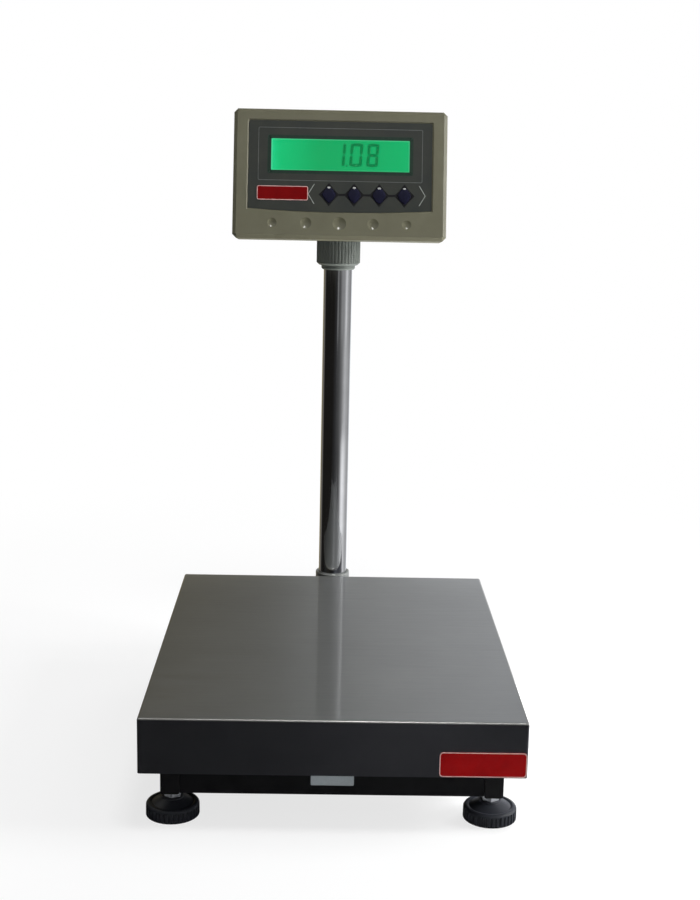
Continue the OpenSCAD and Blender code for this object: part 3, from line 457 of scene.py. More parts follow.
low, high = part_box("foot_stud_" + feet[0])
hexagon = add_post(middle, hexagon_low, hexagon_high, hexagon_reach, 6)
pick(hexagon, "FACE", lambda face: abs(face.normal.z) > 0.99)
step_in((0.5, 0.0))
pick(hexagon, "EDGE", lambda edge: edge.calc_face_angle(0) > 0.5)
bpy.ops.mesh.bevel(offset=0.5 * mm, segments=2, affect="EDGES")
bpy.ops.object.mode_set(mode="OBJECT")
shank = add_post(middle, low.z, high.z, thread_root, 40)
pick(shank, "FACE", lambda face: face.normal.z > 0.99)
step_in((1.0, 0.0))
bpy.ops.object.mode_set(mode="OBJECT")
smooth()
bpy.ops.mesh.primitive_circle_add(vertices=3, radius=thread_ridge, fill_type="NGON",
                                  rotation=(math.pi / 2, 0, 0))
bpy.ops.object.transform_apply(location=True, rotation=True, scale=True)
thread = bpy.context.object
bpy.ops.object.mode_set(mode="EDIT")
bpy.ops.mesh.select_all(action="SELECT")
bpy.ops.transform.rotate(value=-math.pi / 2, orient_axis="Y", center_override=(0, 0, 0))
bpy.ops.transform.translate(value=(thread_root + thread_overlap, 0, hexagon_high + thread_start))
thread_turns = int((high.z - hexagon_high - thread_end) / thread_pitch)
apply_modifier(thread, "SCREW", angle=2 * math.pi, screw_offset=thread_pitch, iterations=thread_turns,
               steps=24, render_steps=24)
smooth()
stud = join(hexagon, shank, thread)

for foot in feet:
    low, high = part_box("foot_pad_" + foot)
    spot = Matrix.Translation(((low.x + high.x) / 2, (low.y + high.y) / 2, 0))
    fit(copy_of(pad, spot), "foot_pad_moulded_" + foot, "foot_" + foot, "foot_plastic", ["foot_pad_" + foot],
        nylon)
    fit(copy_of(sole, spot), "foot_sole_rubber_" + foot, "sole_" + foot, "foot_rubber", ["foot_sole_" + foot],
        rubber)
    fit(copy_of(stud, spot), "foot_stud_threaded_" + foot, "foot_" + foot, "zinc_plated",
        ["foot_stud_" + foot], zinc)
for pattern in (pad, sole, stud):
    bpy.data.objects.remove(pattern)

# Base frame: square steel tubes, welded and powder coated black: two side rails, a front and a rear beam,
# and a spine that carries the load cell. Moulded plugs close the rails, and turned bushes take the studs.
rail_width, rail_wall, rail_corner = 20 * mm, 2.0, 2.5
powder_coat = skin("black_powder_coat", (0.0044, 0.0045, 0.0062), (0.0078, 0.0080, 0.0108), 0.44, patch=40,
                   grain=900, relief=0.02)
plug_plastic = skin("black_plug", (0.0065, 0.0064, 0.0075), (0.0100, 0.0098, 0.0112), 0.42, grain=1600,
                    relief=0.01)
slots = {part["node"]: part["material_slot"] for part in frame["record"]["subparts"]}


def add_box(low, high):
    """A block between two corners, in edit mode."""
    bpy.ops.object.select_all(action="DESELECT")
    bpy.ops.mesh.primitive_cube_add(size=1, location=(low + high) / 2, scale=high - low)
    bpy.ops.object.transform_apply(location=True, rotation=True, scale=True)
    bpy.ops.object.mode_set(mode="EDIT")
    return bpy.context.object


def round_corners(piece, radius, segments=5, axis=1):
    """Rounds the edges of a block that run along one axis."""
    pick(piece, "EDGE", lambda edge: abs((edge.verts[0].co - edge.verts[1].co).normalized()[axis]) > 0.9)
    bpy.ops.mesh.bevel(offset=radius * mm, segments=segments, affect="EDGES")


def square_tube(low, high, axis):
    """A square steel tube with rounded corners and open ends."""
    tube = add_box(low, high)
    pick(tube, "FACE", lambda face: abs(face.normal[axis]) > 0.9)
    bpy.ops.mesh.delete(type="FACE")
    round_corners(tube, rail_corner, axis=axis)
    apply_modifier(tube, "SOLIDIFY", thickness=rail_wall * mm, offset=-1)
    smooth()
    return tube


def ease(node, name, width, material, segments=2, angle=smooth_angle):
    """A merged copy of a CAD node with its edges eased by width, in its place."""
    alone(frame["nodes"][node])
    bpy.ops.object.duplicate()
    piece = bpy.context.object
    body = piece["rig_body"]
    bpy.ops.object.parent_clear(type="CLEAR_KEEP_TRANSFORM")
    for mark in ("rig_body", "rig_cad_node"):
        del piece[mark]
    piece.data.materials.clear()
    bpy.ops.object.mode_set(mode="EDIT")
    bpy.ops.mesh.select_all(action="SELECT")
    bpy.ops.mesh.customdata_custom_splitnormals_clear()
    bpy.ops.mesh.remove_doubles(threshold=0.002 * mm)
    bpy.ops.mesh.dissolve_limited(angle_limit=math.radians(0.5))
    round_edges(piece, width, segments, angle)
    return fit(piece, name, body, slots[node], [node], material)


low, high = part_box("side_rails")
rails = [square_tube(Vector((x, low.y, low.z)), Vector((x + rail_width, high.y, high.z)), 1)
         for x in (low.x, high.x - rail_width)]
fit(join(*rails), "side_rails_welded", "base", "painted_steel", ["side_rails"], powder_coat)
for beam in ("front_beam", "rear_beam"):
    fit(square_tube(*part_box(beam), 0), beam + "_welded", "base", "painted_steel", [beam], powder_coat)
ease("base_spine", "base_spine_welded", 0.4, powder_coat)
ease("rail_end_caps", "rail_plugs", 0.8, plug_plastic, 3)
ease("foot_bushes", "foot_bushes_turned", 0.3, zinc)

# Type plate: a bare aluminium foil plate with a thin raised edge, etched matt. Adhesive holds it to the
# middle of the front beam.
plate_corner, plate_edge = 1.2, 0.9
foil = skin("foil", (0.31, 0.35, 0.37), (0.37, 0.41, 0.43), 0.46, patch=900, grain=1500, relief=0.004,
            along=(0.05, 1, 1), gloss=0.3)
plate = add_box(*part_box("type_plate"))
round_corners(plate, plate_corner)
pick(plate, "FACE", lambda face: face.normal.y < -0.9)
step_in((plate_edge, 0.0), (0.15, -0.12))
fit(plate, "type_plate_foil", "base", "plate_metal", ["type_plate"], foil)

# Load cell: a milled aluminium single-point beam, clear anodised, bolted between two steel spacers. Its rear
# end stands on the base spine and its front end carries the upper frame.
anodised = skin("anodised_aluminium", (0.46, 0.47, 0.49), (0.58, 0.59, 0.61), 0.34, metallic=1.0, patch=60,
                grain=1500, relief=0.006, along=(1, 0.05, 1))
ground_steel = skin("ground_steel", (0.16, 0.16, 0.17), (0.24, 0.24, 0.25), 0.38, metallic=1.0, patch=90,
                    relief=0.006, along=(0.06, 1, 1))
ease("load_cell", "load_cell_milled", 0.6, anodised)
for side in ("lower", "upper"):
    ease("cell_spacer_" + side, "cell_spacer_%s_ground" % side, 0.4, ground_steel)
for side in ("lower", "upper"):
    ease("cell_bolts_" + side, "cell_bolts_%s_plated" % side, 0.35, zinc)

# Upper frame: a spine and two arms of the same black tube, with rubber bumpers for the pan. Below each arm's
# end an overload stop screw stands in the rail, locked with a nut.
arm_width = 30 * mm
ease("upper_spine", "upper_spine_welded", 0.4, powder_coat)
low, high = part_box("upper_arms")
arms = [square_tube(Vector((low.x, y, low.z)), Vector((high.x, y + arm_width, high.z)), 0)
        for y in (low.y, high.y - arm_width)]
fit(join(*arms), "upper_arms_welded", "base", "painted_steel", ["upper_arms"], powder_coat)
ease("pan_bumpers", "pan_bumpers_moulded", 0.4, rubber, 3)
ease("overload_stops", "overload_stops_plated", 0.5, zinc)
ease("stop_nuts", "stop_nuts_plated", 0.5, zinc)

# Bull's-eye level: a white moulded cup with a clear, tinted window, pressed onto the rear beam. A black ring
# on the window marks the middle, and an air bubble lies under it.
dome_run, flat_run, ring_width = 2.0, 1.4, 0.6
cup_white = skin("cup_white", (0.62, 0.62, 0.58), (0.72, 0.72, 0.68), 0.30, patch=200, relief=0.004)
spirit = skin("tinted_spirit", (0.36, 0.62, 0.05), (0.45, 0.72, 0.09), 0.08, patch=120, relief=0.002)
ease("level_body", "level_cup", 0.3, cup_white, 3)
low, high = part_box("level_lens")
middle = (low + high) / 2
vial_reach = (high.x - low.x) / 2
vial = add_post(middle, low.z, high.z, vial_reach, 64)
pick(vial, "FACE", lambda face: face.normal.z > 0.99)
step_in((dome_run, 0.15), (flat_run, 0.0), (0.05, 0.08), (ring_width - 0.1, 0.0), (0.05, -0.08), (0.6, 0.1),
        (0.3, 0.25), (0.8, 0.1))
round_edges(vial, 0.1)
ring_start = dome_run + flat_run
for face in vial.data.polygons:
    inwards = (vial_reach - (Vector(face.center) - middle).xy.length) / mm
    if face.center.z > high.z - 0.1 * mm and ring_start < inwards < ring_start + ring_width:
        face.material_index = 1
vial.data.materials.append(spirit)
fit(vial, "level_vial", "base", "level_clear", ["level_lens"], spirit, nylon)

# Weighing pan: a stainless sheet, brushed across its top, folded down on all four sides and welded at the
# corners. It lifts off the bumpers. The bend takes a slightly lighter, smoother copy of the steel, a painted
# highlight for the bright line along the edge, and the skirt a darker, duller copy, painted shade in place of
# the dark floor it would mirror.
pan_sheet, pan_bend = 1.5, 2.5
steep, flat = 0.2, 0.98


def brushed_steel(name, dark, light, rough, smear, lustre, metallic=1.0):
    """Brushed sheet: fine scratches across it, which draw reflections out towards the viewer by smear, and a
    clear reflection on top of them by lustre. Below a metallic share of 1 it is duller."""
    material = skin(name, dark, light, rough, metallic, patch=7, grain=1300, relief=0.0035,
                    along=(0.012, 1, 1))
    tree = material.node_tree
    shader = tree.nodes["Principled BSDF"]
    lay = add_node(tree, "ShaderNodeTangent", direction_type="UV_MAP")
    tree.links.new(lay.outputs["Tangent"], shader.inputs["Tangent"])
    set_inputs(shader, {"Anisotropic": smear, "Anisotropic Rotation": 0.25, "Coat Weight": lustre,
                        "Coat Roughness": 0.06})
    return material


brushed_top = brushed_steel("brushed_stainless", (0.318, 0.325, 0.329), (0.354, 0.361, 0.365), 0.42, 0.6, 0.9)
# The skirt's copy is darker than the top: painted shade standing in for the dark floor it would mirror.
skirt_steel_painted_shade = brushed_steel("skirt_steel_painted_shade", (0.104, 0.106, 0.120), (0.120, 0.122, 0.136), 0.34, 1.0, 0.0,
                              0.91)
# The bend's copy is a little lighter than the top: painted highlight for the bright line along the edge.
bend_steel_painted_highlight = skin("bend_steel_painted_highlight", (0.33, 0.33, 0.32), (0.40, 0.40, 0.39), 0.34, metallic=1.0, patch=7,
                     grain=1300, relief=0.002, along=(0.012, 1, 1))
pan = add_box(pan_low, pan_high)
pick(pan, "FACE", lambda face: face.normal.z < -0.99)
bpy.ops.mesh.delete(type="FACE")
pick(pan, "EDGE", lambda edge: max(corner.co.z for corner in edge.verts) > pan_high.z - mm)
bpy.ops.mesh.bevel(offset=pan_bend * mm, segments=6, affect="EDGES")
bpy.ops.mesh.select_all(action="SELECT")
bpy.ops.uv.cube_project(cube_size=1.0)
apply_modifier(pan, "SOLIDIFY", thickness=pan_sheet * mm, offset=-1)
smooth()
pan_finishes = (brushed_top, bend_steel_painted_highlight, skirt_steel_painted_shade)
for finish in pan_finishes:
    pan.data.materials.append(finish)
# Gently sloping faces take the bend's painted highlight, upright faces the skirt's painted shade.
for face in pan.data.polygons:
    upward = face.normal.z
    face.material_index = 1 if steep < upward < flat else 2 if abs(upward) < steep else 0
fit(pan, "pan_folded", "pan", "stainless", ["platform_pan"], *pan_finishes)

# Badge on the pan's skirt: a bare plate in red enamel with a raised pale border, pressed from thin sheet.
# Adhesive holds it at the lower right.
enamel = skin("red_enamel", (0.235, 0.0007, 0.0014), (0.290, 0.0014, 0.0020), 0.30, patch=60, relief=0.004,
              gloss=0.08)
border = skin("pale_border", (0.54, 0.29, 0.275), (0.70, 0.43, 0.41), 0.30, patch=200, relief=0.003)


def badge_plate(low, high, corner, rim):
    """A thin plate facing -Y with round corners and a raised rim, which is its second material."""
    plate = add_box(low, high)
    round_corners(plate, corner, 6)
    pick(plate, "FACE", lambda face: face.normal.y < -0.9)
    thickness = (high.y - low.y) / mm
    step_in((0.15 * rim, 0.0), (rim, 0.0), (0.12 * rim, -0.25 * thickness))
    bpy.ops.object.mode_set(mode="OBJECT")
    plate.data.materials.append(enamel)
    plate.data.materials.append(border)
    front = low.y + 0.02 * thickness * mm
    for face in plate.data.polygons:
        face.material_index = 1 if face.center.y < front and len(face.vertices) == 4 else 0
    smooth(30)
    return plate


fit(badge_plate(*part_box("front_badge"), 4.0, 0.9), "pan_badge", "pan", "badge_red", ["front_badge"], enamel,
    border)

# Column bracket: a back plate, two cheeks and a floor, welded from black steel plate. Four plated bolts hold
# it to the rear beam.
ease("column_bracket", "column_bracket_welded", 0.6, powder_coat)
ease("bracket_bolts", "bracket_bolts_plated", 0.5, zinc)

# Socket: a turned steel sleeve with a satin skin and a rounded lip, welded into the bracket. Two clamp
# screws at its rear hold the column.
sleeve_wall, sleeve_lip = 3.94, 1.4
satin_steel = skin("satin_steel", (0.30, 0.31, 0.30), (0.36, 0.37, 0.36), 0.36, metallic=0.85, patch=50,
                   grain=1500, relief=0.005, along=(1, 1, 0.04))


def round_tube(low, high, wall, rounding, segments):
    """An upright tube between two corners of its box, with its rims rounded."""
    tube = add_post((low + high) / 2, low.z, high.z, (high.x - low.x) / 2, 128)
    pick(tube, "FACE", lambda face: abs(face.normal.z) > 0.9)
    bpy.ops.mesh.delete(type="FACE")
    apply_modifier(tube, "SOLIDIFY", thickness=wall * mm, offset=-1, use_even_offset=True)
    round_edges(tube, rounding, segments)
    return tube


sleeve = round_tube(*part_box("column_socket"), sleeve_wall, sleeve_lip, 5)
fit(sleeve, "column_socket_turned", "base", "socket_steel", ["column_socket"], satin_steel)
ease("socket_screws", "socket_screws_plated", 0.4, zinc)

# Column: a drawn steel tube, chrome plated and polished bright. It stands in the socket, clamped by the
# two screws.
column_wall = 1.5
chrome = skin("polished_chrome", (0.66, 0.67, 0.68), (0.74, 0.75, 0.76), 0.085, metallic=1.0, patch=30,
              grain=700, relief=0.0006, along=(1, 1, 0.02))
tube = round_tube(tube_low, tube_high, column_wall, 0.3, 2)
fit(tube, "column_polished", "base", "column_chrome", ["column_tube"], chrome)

# Column cap: a grey moulding over the tube's end, with a stepped skirt outside, a plug inside and the spigot
# for the swivel on top.
grey_plastic = skin("grey_plastic", (0.090, 0.101, 0.090), (0.108, 0.120, 0.107), 0.46, patch=70, grain=1500,
                    relief=0.010)
ease("column_cap", "column_cap_moulded", 0.5, grey_plastic, 3)

# Locking collar: a grey moulded ring nut with fine upright ribs and a chamfer below. Its hollow lower lip
# hangs over the upper half of the cap.
collar_ribs, collar_lip, collar_chamfer = 40, 5.7, 3.0
low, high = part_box("swivel_collar")
collar = add_post(column, low.z + (collar_chamfer - collar_lip) * mm, high.z, (high.x - low.x) / 2,
                  2 * collar_ribs)
pick(collar, "FACE", lambda face: abs(face.normal.z) < 0.1 and face.index % 2 == 0)
bpy.ops.mesh.inset(thickness=0.35 * mm, depth=-0.55 * mm, use_individual=True)
pick(collar, "FACE", lambda face: face.normal.z > 0.99)
step_in((4.2, 0.0), (0.05, -6.0))
pick(collar, "FACE", lambda face: face.normal.z < -0.99)
step_in((0.5, 0.4), (2.6, 2.4), (0.4, 0.2), (1.6, 0.0), (0.05, -collar_lip))
round_edges(collar, 0.2)
fit(collar, "swivel_collar_ribbed", "collar", "swivel_plastic", ["swivel_collar"], grey_plastic)

# Tilt yoke: a grey moulded sleeve on the spigot with a post and an ear. A steel pin through the ear carries
# the head, and nylon washers on each side hold it by friction.
nylon_white = skin("white_nylon", (0.56, 0.56, 0.52), (0.66, 0.66, 0.62), 0.42, patch=120, relief=0.008)
ease("tilt_yoke", "tilt_yoke_moulded", 0.6, grey_plastic)
ease("tilt_pin", "tilt_pin_ground", 0.4, zinc)
ease("friction_washers", "friction_washers_cut", 0.3, nylon_white)

# Indicator head, front housing: an olive-grey moulding with a fine spark-eroded grain. It has a bevelled
# rim, a bowed recess for the panel and five graded dimples below it.
head_lean = math.radians(14)
pin_back, pin_up = 57, 45
dimple_pitch, dimple_z, dimple_reach, dimple_depth = 42.8, 20, 8.6, 2.3
tilt_low, tilt_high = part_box("tilt_pin")
head_place = (Matrix.Translation((tilt_low + tilt_high) / 2) @ Matrix.Rotation(-head_lean, 4, "X")
              @ Matrix.Translation((0, -pin_back * mm, -pin_up * mm)))
olive_plastic = skin("olive_grey_plastic", (0.103, 0.099, 0.065), (0.120, 0.116, 0.077), 0.50, patch=30,
                     grain=1700, relief=0.014, gloss=0.3)
polished_plastic = skin("polished_olive_grey", (0.102, 0.098, 0.064), (0.117, 0.113, 0.075), 0.12, patch=30,
                        grain=900, relief=0.001)
housing = ease("front_housing", "front_housing_moulded", 0.35, olive_plastic, angle=20)
housing.data.materials.append(polished_plastic)
to_head = head_place.inverted()
for face in housing.data.polygons:
    spot = to_head @ face.center / mm
    dimple_x = round(spot.x / dimple_pitch) * dimple_pitch
    if 0.02 < spot.y < dimple_depth and math.hypot(spot.x - dimple_x, spot.z - dimple_z) < dimple_reach:
        face.material_index = 1

# Seal and rear housing: a dark cord seal lies in the joint, and the drafted rear shell is moulded in the same
# plastic. Four long screws in deep wells draw the halves together, and the power inlet sits low at the rear.
seal_rubber = skin("seal_rubber", (0.012, 0.012, 0.014), (0.020, 0.020, 0.022), 0.65, relief=0.01)
ease("housing_seal", "housing_seal_cord", 0.2, seal_rubber)
ease("rear_housing", "rear_housing_moulded", 0.8, olive_plastic, 3)
ease("housing_screws", "housing_screws_plated", 0.25, zinc)
ease("power_inlet", "power_inlet_moulded", 0.3, plug_plastic, 3)

# Inside the head: display holder, main board with its switches and screws, and the battery pack. Nothing
# shows them until the head is opened.
board_lacquer = skin("board_lacquer", (0.010, 0.085, 0.030), (0.016, 0.115, 0.042), 0.30, patch=240,
                     relief=0.006)
battery_wrap = skin("battery_wrap", (0.022, 0.024, 0.030), (0.034, 0.036, 0.044), 0.42, patch=60,
                    relief=0.006)
for node, material in (("lcd_holder", plug_plastic), ("key_switches", plug_plastic),
                       ("main_board", board_lacquer), ("board_screws", zinc), ("battery", battery_wrap)):
    frame["nodes"][node].data.materials.clear()
    frame["nodes"][node].data.materials.append(material)

# Display: a liquid-crystal panel with dark figures, lit green from behind. It is brighter towards the lamp
# at its left end and pale at its rim, and it lies in the holder behind a clear moulded window.
window_half, window_low, window_high = 88, 87.5, 128
window_gap = 0.3
lens_front, lens_back = 0.9, 4.0
panel_thick, panel_rim = 2.5, 3.0
rim_shift = 0.8
figure_low, figure_high, stroke, figure_lift, slant = 93.9, 124.1, 4.0, 0.04, 0.07
segment_gap, segment_taper = 0.35, 0.92
point_left, point_width = 6.6, 2.4
segments_of = {"0": "abcdef", "1": "bc", "8": "abcdefg"}


def head_box(x, y, z):
    """A block between (from, to) pairs on the head's own axes, in millimetres, in edit mode."""
    return add_box(Vector((x[0], y[0], z[0])) * mm, Vector((x[1], y[1], z[1])) * mm)


def fit_head(piece, name, slot, nodes, *materials):
    """Moves a piece made on the head's own axes to its place, and fixes it to the head."""
    piece.matrix_world = head_place
    return fit(piece, name, "head", slot, nodes, *materials)


lit_green, tree, lamp_lit = new_material("lit_green")
set_inputs(lamp_lit, {"Base Color": (0.001, 0.008, 0.003, 1), "Roughness": 0.8, "Specular IOR Level": 0.0,
                      "Emission Strength": 1.0})
place = tree.nodes.new("ShaderNodeTexCoord")
axes = tree.nodes.new("ShaderNodeSeparateXYZ")
cloud = add_node(tree, "ShaderNodeTexNoise", {"Scale": 45.0, "Detail": 2.0})
drift = add_node(tree, "ShaderNodeMapRange", {
    "From Min": 0.2, "From Max": 0.8, "To Min": -0.004, "To Max": 0.004})
wander = add_node(tree, "ShaderNodeMath", operation="ADD")
window_ends = (-window_half * mm, window_half * mm)
reach = add_node(tree, "ShaderNodeMapRange", {"From Min": window_ends[0], "From Max": window_ends[1]})
tree.links.new(place.outputs["Object"], axes.inputs[0])
tree.links.new(place.outputs["Object"], cloud.inputs["Vector"])
tree.links.new(cloud.outputs["Fac"], drift.inputs["Value"])
tree.links.new(axes.outputs["X"], wander.inputs[0])
tree.links.new(drift.outputs["Result"], wander.inputs[1])
tree.links.new(wander.outputs[0], reach.inputs["Value"])
pale_rim = add_node(tree, "ShaderNodeMix", {7: (0.050, 0.055, 0.075, 1)}, data_type="RGBA", blend_type="ADD")
near_rim = add_node(tree, "ShaderNodeMath", operation="MAXIMUM")
seen_heights = [(head_place @ (Vector((0, lens_back, z + rim_shift)) * mm)).z
                for z in (window_low, window_high)]
for entry, side, ends, stops in (
        (0, "X", window_ends, ((0.0065, 1.0), (0.011, 0.0), (0.989, 0.0), (0.9935, 0.6))),
        (1, "Z", seen_heights, ((0.028, 0.35), (0.045, 0.0), (0.955, 0.0), (0.972, 1.0)))):
    span = add_node(tree, "ShaderNodeMapRange", {"From Min": ends[0], "From Max": ends[1]})
    tree.links.new(axes.outputs[side], span.inputs["Value"])
    rim_glow = add_ramp(tree, span.outputs["Result"], [(stop, (grey,) * 3) for stop, grey in stops])
    tree.links.new(rim_glow, near_rim.inputs[entry])
green_shades = add_ramp(tree, reach.outputs["Result"], (
    (0.0, (0.016, 0.62, 0.25)), (0.06, (0.009, 0.52, 0.180)), (0.35, (0.010, 0.385, 0.122)),
    (0.7, (0.010, 0.40, 0.132)), (1.0, (0.010, 0.44, 0.148))))
tree.links.new(green_shades, pale_rim.inputs[6])
tree.links.new(near_rim.outputs[0], pale_rim.inputs[0])
tree.links.new(pale_rim.outputs[2], lamp_lit.inputs["Emission Color"])
display = head_box((-window_half - panel_rim, window_half + panel_rim), (lens_back, lens_back + panel_thick),
                   (window_low - panel_rim, window_high + panel_rim))
round_corners(display, 0.8)
round_edges(display, 0.2)
fit_head(display, "display_panel", "lcd_green", ["lcd_panel"], lit_green)

dark_green = skin("dark_figures", (0.002, 0.016, 0.006), (0.004, 0.024, 0.009), 0.8, patch=300, relief=0.002,
                  gloss=0.0)
set_inputs(dark_green.node_tree.nodes["Principled BSDF"],
           {"Emission Color": (0.003, 0.185, 0.056, 1), "Emission Strength": 1.0})
figure_depth = (lens_back - figure_lift, lens_back)


def figure(name, left, right):
    """A seven-segment figure, one long hexagon for each lit segment."""
    half = stroke / 2
    middle = (figure_low + figure_high) / 2
    between = (left + half + segment_gap, right - half - segment_gap)
    at_left, at_right = (left, left + stroke), (right - stroke, right)
    lower = (figure_low + segment_gap, middle - segment_gap)
    upper = (middle + segment_gap, figure_high - segment_gap)
    places = {"a": (between, (figure_high - stroke, figure_high)),
              "g": (between, (middle - half, middle + half)),
              "d": (between, (figure_low, figure_low + stroke)),
              "b": (at_right, upper), "c": (at_right, lower), "e": (at_left, lower), "f": (at_left, upper)}
    bars = []
    for segment in segments_of[name]:
        x, z = places[segment]
        bar = head_box(x, figure_depth, z)
        round_corners(bar, segment_taper * half, 1)
        bpy.ops.object.mode_set(mode="OBJECT")
        bars.append(bar)
    return join(*bars)


reading = [figure("1", -1.5, 5.3), figure("0", 10.8, 27.1), figure("8", 32.6, 47.6)]
point = head_box((point_left, point_left + point_width), figure_depth, (figure_low, figure_low + point_width))
round_corners(point, 0.5, 2)
bpy.ops.object.mode_set(mode="OBJECT")
figures = join(*reading, point)
levels = sorted({round(corner.co.z, 6) for corner in figures.data.vertices})
bpy.ops.object.mode_set(mode="EDIT")
for level in levels:
    pick(figures, "VERT", lambda corner: abs(corner.co.z - level) < 0.001 * mm)
    bpy.ops.transform.translate(value=((level - figure_low * mm) * slant, 0, 0))
bpy.ops.object.mode_set(mode="OBJECT")
fit_head(figures, "display_figures", "lcd_green", [], dark_green)

clear, tree, glass = new_material("clear_window")
set_inputs(glass, {"Transmission Weight": 1.0, "IOR": 1.12})
place = tree.nodes.new("ShaderNodeTexCoord")
haze = add_node(tree, "ShaderNodeTexNoise", {"Scale": 60.0, "Detail": 3.0})
tree.links.new(place.outputs["Object"], haze.inputs["Vector"])
tints = add_ramp(tree, haze.outputs["Fac"], ((0.3, (0.93, 0.98, 0.95)), (0.7, (0.97, 1.0, 0.98))))
tree.links.new(tints, glass.inputs["Base Color"])
smears = add_node(tree, "ShaderNodeMapRange", {"To Min": 0.01, "To Max": 0.03})
tree.links.new(haze.outputs["Fac"], smears.inputs["Value"])
tree.links.new(smears.outputs["Result"], glass.inputs["Roughness"])
window = head_box((-window_half, window_half), (lens_front, lens_back - window_gap),
                  (window_low, window_high))
round_corners(window, 1.0)
round_edges(window, 0.15)
fit_head(window, "display_window_clear", "window_clear", ["display_window"], clear)

# Panel overlay: a dark slate polycarbonate film stuck in the recess, with openings for the window and the
# keys. Its print is a thin pale frame, a dark edge round the window, two chevrons and dark grounds behind the
# keys. The dark edge is tinted green with painted glow, light from the display spilt onto the film. A second
# bare red badge is stuck on it.
film_front, ink = 0.9, 0.05
ink_depth = (film_front - ink, film_front + ink)
frame_half, frame_low, frame_high = 104.6, 74.2, 142.2
edge_half, edge_low, edge_high = 92.6, 83.0, 132.4
chevron_low, chevron_high, chevron_stroke = 44.8, 70.3, 0.9
chevron_tips_and_arms = ((-40.8, -33.1), (108.1, 100.4))
key_z, key_width, key_height, key_corner = 57, 18, 22, 1.6
key_places = (-14, 18, 50, 82)
pocket_gap, link_half = 0.8, 1.3
halo_width, halo_height = 26.4, 30
badge_low, badge_high = Vector((-105.4, film_front - 0.45, 49.1)) * mm, Vector((-40.6, film_front, 67.1)) * mm
slate_film = skin("slate_film", (0.025, 0.028, 0.026), (0.033, 0.035, 0.029), 0.42, patch=26, grain=2200,
                  relief=0.008, gloss=0.2)
frame_ink = skin("grey_ink", (0.075, 0.080, 0.078), (0.105, 0.110, 0.106), 0.45, patch=300, relief=0.002,
                 gloss=0.2)
pale_ink = skin("pale_ink", (0.25, 0.27, 0.25), (0.34, 0.36, 0.33), 0.45, patch=300, relief=0.002, gloss=0.2)
# Dark print tinted green: painted glow of the display's light around the window.
window_glow_ink = skin("window_edge_glow_ink", (0.010, 0.022, 0.016), (0.014, 0.030, 0.021), 0.45, patch=300,
                  relief=0.002, gloss=0.2)
black_ink = skin("black_ink", (0.0060, 0.0060, 0.0070), (0.0085, 0.0085, 0.0100), 0.45, patch=300,
                 relief=0.002, gloss=0.12)
red_foil = skin("red_foil", (0.125, 0.0010, 0.0018), (0.155, 0.0018, 0.0024), 0.34, patch=60, relief=0.004,
                gloss=0.08)


def printed_ring(half, low, high, corner, width):
    """A printed outline with rounded corners."""
    ring = head_box((-half, half), ink_depth, (low, high))
    round_corners(ring, corner)
    pick(ring, "FACE", lambda face: abs(face.normal.y) > 0.9)
    bpy.ops.mesh.inset(thickness=width * mm, use_individual=True)
    bpy.ops.mesh.bridge_edge_loops()
    bpy.ops.object.mode_set(mode="OBJECT")
    return ring


def chevron(tip, arm):
    """A printed chevron: an upright stroke whose middle is drawn out to its tip."""
    mark = head_box((arm, arm + chevron_stroke), ink_depth, (chevron_low, chevron_high))
    bpy.ops.mesh.select_all(action="SELECT")
    bpy.ops.mesh.bisect(plane_co=(0, 0, (chevron_low + chevron_high) / 2 * mm), plane_no=(0, 0, 1))
    bpy.ops.transform.translate(value=((tip - arm) * mm, 0, 0))
    bpy.ops.object.mode_set(mode="OBJECT")
    return mark


def combine(piece, other, operation):
    """Adds one mesh to another or cuts it out, and removes it."""
    apply_modifier(piece, "BOOLEAN", object=other, operation=operation, solver="EXACT")
    bpy.data.objects.remove(other)


def diamond_block(x, width, height, y, fullness, rounding=0.0):
    """A diamond prism across the head's face at the keys' height, in edit mode. At a fullness of 1 its sides
    are straight, above that they swell and below that they are drawn in."""
    middle = Vector((x, 0, key_z)) * mm
    block = add_cylinder(Vector((x, y[0], key_z)) * mm, Vector((x, y[1], key_z)) * mm, width / 2 * mm, 8, "Y")
    pick(block, "VERT", lambda corner: True)
    bpy.ops.transform.resize(value=(1, 1, height / width), center_override=middle)
    pick(block, "VERT", lambda corner: min(abs(corner.co.x - middle.x), abs(corner.co.z - middle.z)) > mm)
    drawn = fullness * math.sqrt(0.5)
    bpy.ops.transform.resize(value=(drawn, 1, drawn), center_override=middle)
    if rounding:
        round_corners(block, rounding, 4)
    return block


ease("panel_overlay", "panel_film", 0.12, slate_film)
frame_print = printed_ring(frame_half, frame_low, frame_high, 2.0, 0.7)
fit_head(frame_print, "panel_print_frame", "panel_film", [], frame_ink)
# The window's dark printed edge, tinted with painted green glow.
window_glow_print = printed_ring(edge_half, edge_low, edge_high, 2.4, 4.5)
fit_head(window_glow_print, "panel_print_window_glow", "panel_film", [], window_glow_ink)
chevrons = join(*(chevron(tip, arm) for tip, arm in chevron_tips_and_arms))
fit_head(chevrons, "panel_print_chevrons", "panel_film", [], pale_ink)
ground = head_box((key_places[0], key_places[-1]), ink_depth, (key_z - link_half, key_z + link_half))
bpy.ops.object.mode_set(mode="OBJECT")
for x in key_places:
    combine(ground, diamond_block(x, halo_width, halo_height, ink_depth, 0.93), "UNION")
for x in key_places:
    pocket = diamond_block(x, key_width + pocket_gap, key_height + pocket_gap, (-5, 5), 1.2, key_corner)
    combine(ground, pocket, "DIFFERENCE")
fit_head(ground, "panel_print_keys", "panel_film", [], black_ink)
fit_head(badge_plate(badge_low, badge_high, 2.2, 0.7), "panel_badge", "badge_red", [], red_foil, border)

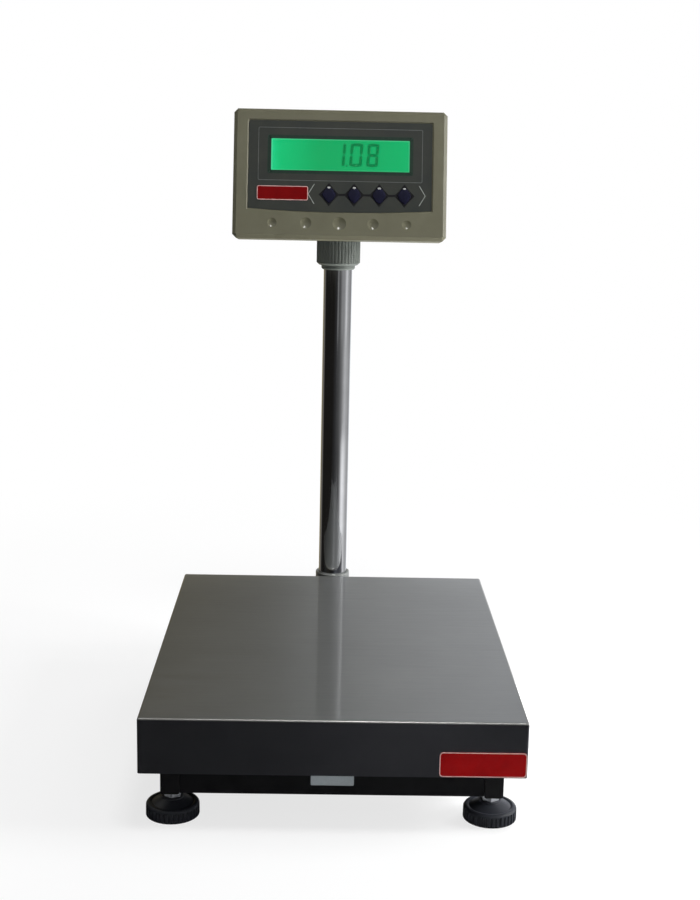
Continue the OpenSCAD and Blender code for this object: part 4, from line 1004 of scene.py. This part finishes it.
# Keys, four: soft navy diamonds moulded in silicone rubber, crowned in front, each with a pale pip at its
# upper corner. A flange inside the head keeps each in its pocket, and a stem works its switch.
key_top, key_crown, key_back, key_fullness = -0.1, 1.0, 4.8, 1.19
flange_margin, flange_overlap, flange_back = 4, 0.5, 5.3
stem_radius, stem_overlap, stem_end = 3, 0.2, 11.3
pip_half, pip_low, pip_high, pip_front, pip_back = 1.9, 7.9, 10.1, 0.06, 0.7
navy_rubber = skin("navy_rubber", (0.0040, 0.0040, 0.0120), (0.0070, 0.0072, 0.0220), 0.36, patch=120,
                   grain=1500, relief=0.006, gloss=0.14)
pip_white = skin("pip_white", (0.30, 0.31, 0.30), (0.38, 0.39, 0.38), 0.30, patch=300, relief=0.002)
diamond = diamond_block(0, key_width, key_height, (key_top + key_crown, key_back), key_fullness, key_corner)
pick(diamond, "FACE", lambda face: face.normal.y < -0.9)
for share, rise in ((0.97, 0.35), (0.93, 0.25), (0.80, 0.22), (0.70, 0.12), (0.50, 0.06)):
    bpy.ops.mesh.extrude_region_move(TRANSFORM_OT_translate={"value": (0, -rise * mm, 0)})
    bpy.ops.transform.resize(value=(share, 1, share), center_override=(0, 0, key_z * mm))
round_edges(diamond, 0.15)
flange = diamond_block(0, key_width + flange_margin, key_height + flange_margin,
                       (key_back - flange_overlap, flange_back), key_fullness, key_corner)
round_edges(flange, 0.2)
stem = add_cylinder(Vector((0, flange_back - stem_overlap, key_z)) * mm, Vector((0, stem_end, key_z)) * mm,
                    stem_radius * mm, 32, "Y")
pick(stem, "FACE", lambda face: abs(face.normal.y) > 0.9)
bpy.ops.mesh.inset(thickness=0.3 * mm, depth=0.0, use_individual=True)
round_edges(stem, 0.2)
key = join(diamond, flange, stem)
pip = head_box((-pip_half, pip_half), (pip_front, pip_back), (key_z + pip_low, key_z + pip_high))
round_corners(pip, 0.9, 4)
round_edges(pip, 0.15)
for number, x in enumerate(key_places, 1):
    body = "key_%d" % number
    spot = head_place @ Matrix.Translation((x * mm, 0, 0))
    fit(copy_of(key, spot), body + "_moulded", body, "key_blue", [body], navy_rubber)
    fit(copy_of(pip, spot), body + "_pip", body, "key_blue", [], pip_white)
for pattern in (key, pip):
    bpy.data.objects.remove(pattern)

low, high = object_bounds()
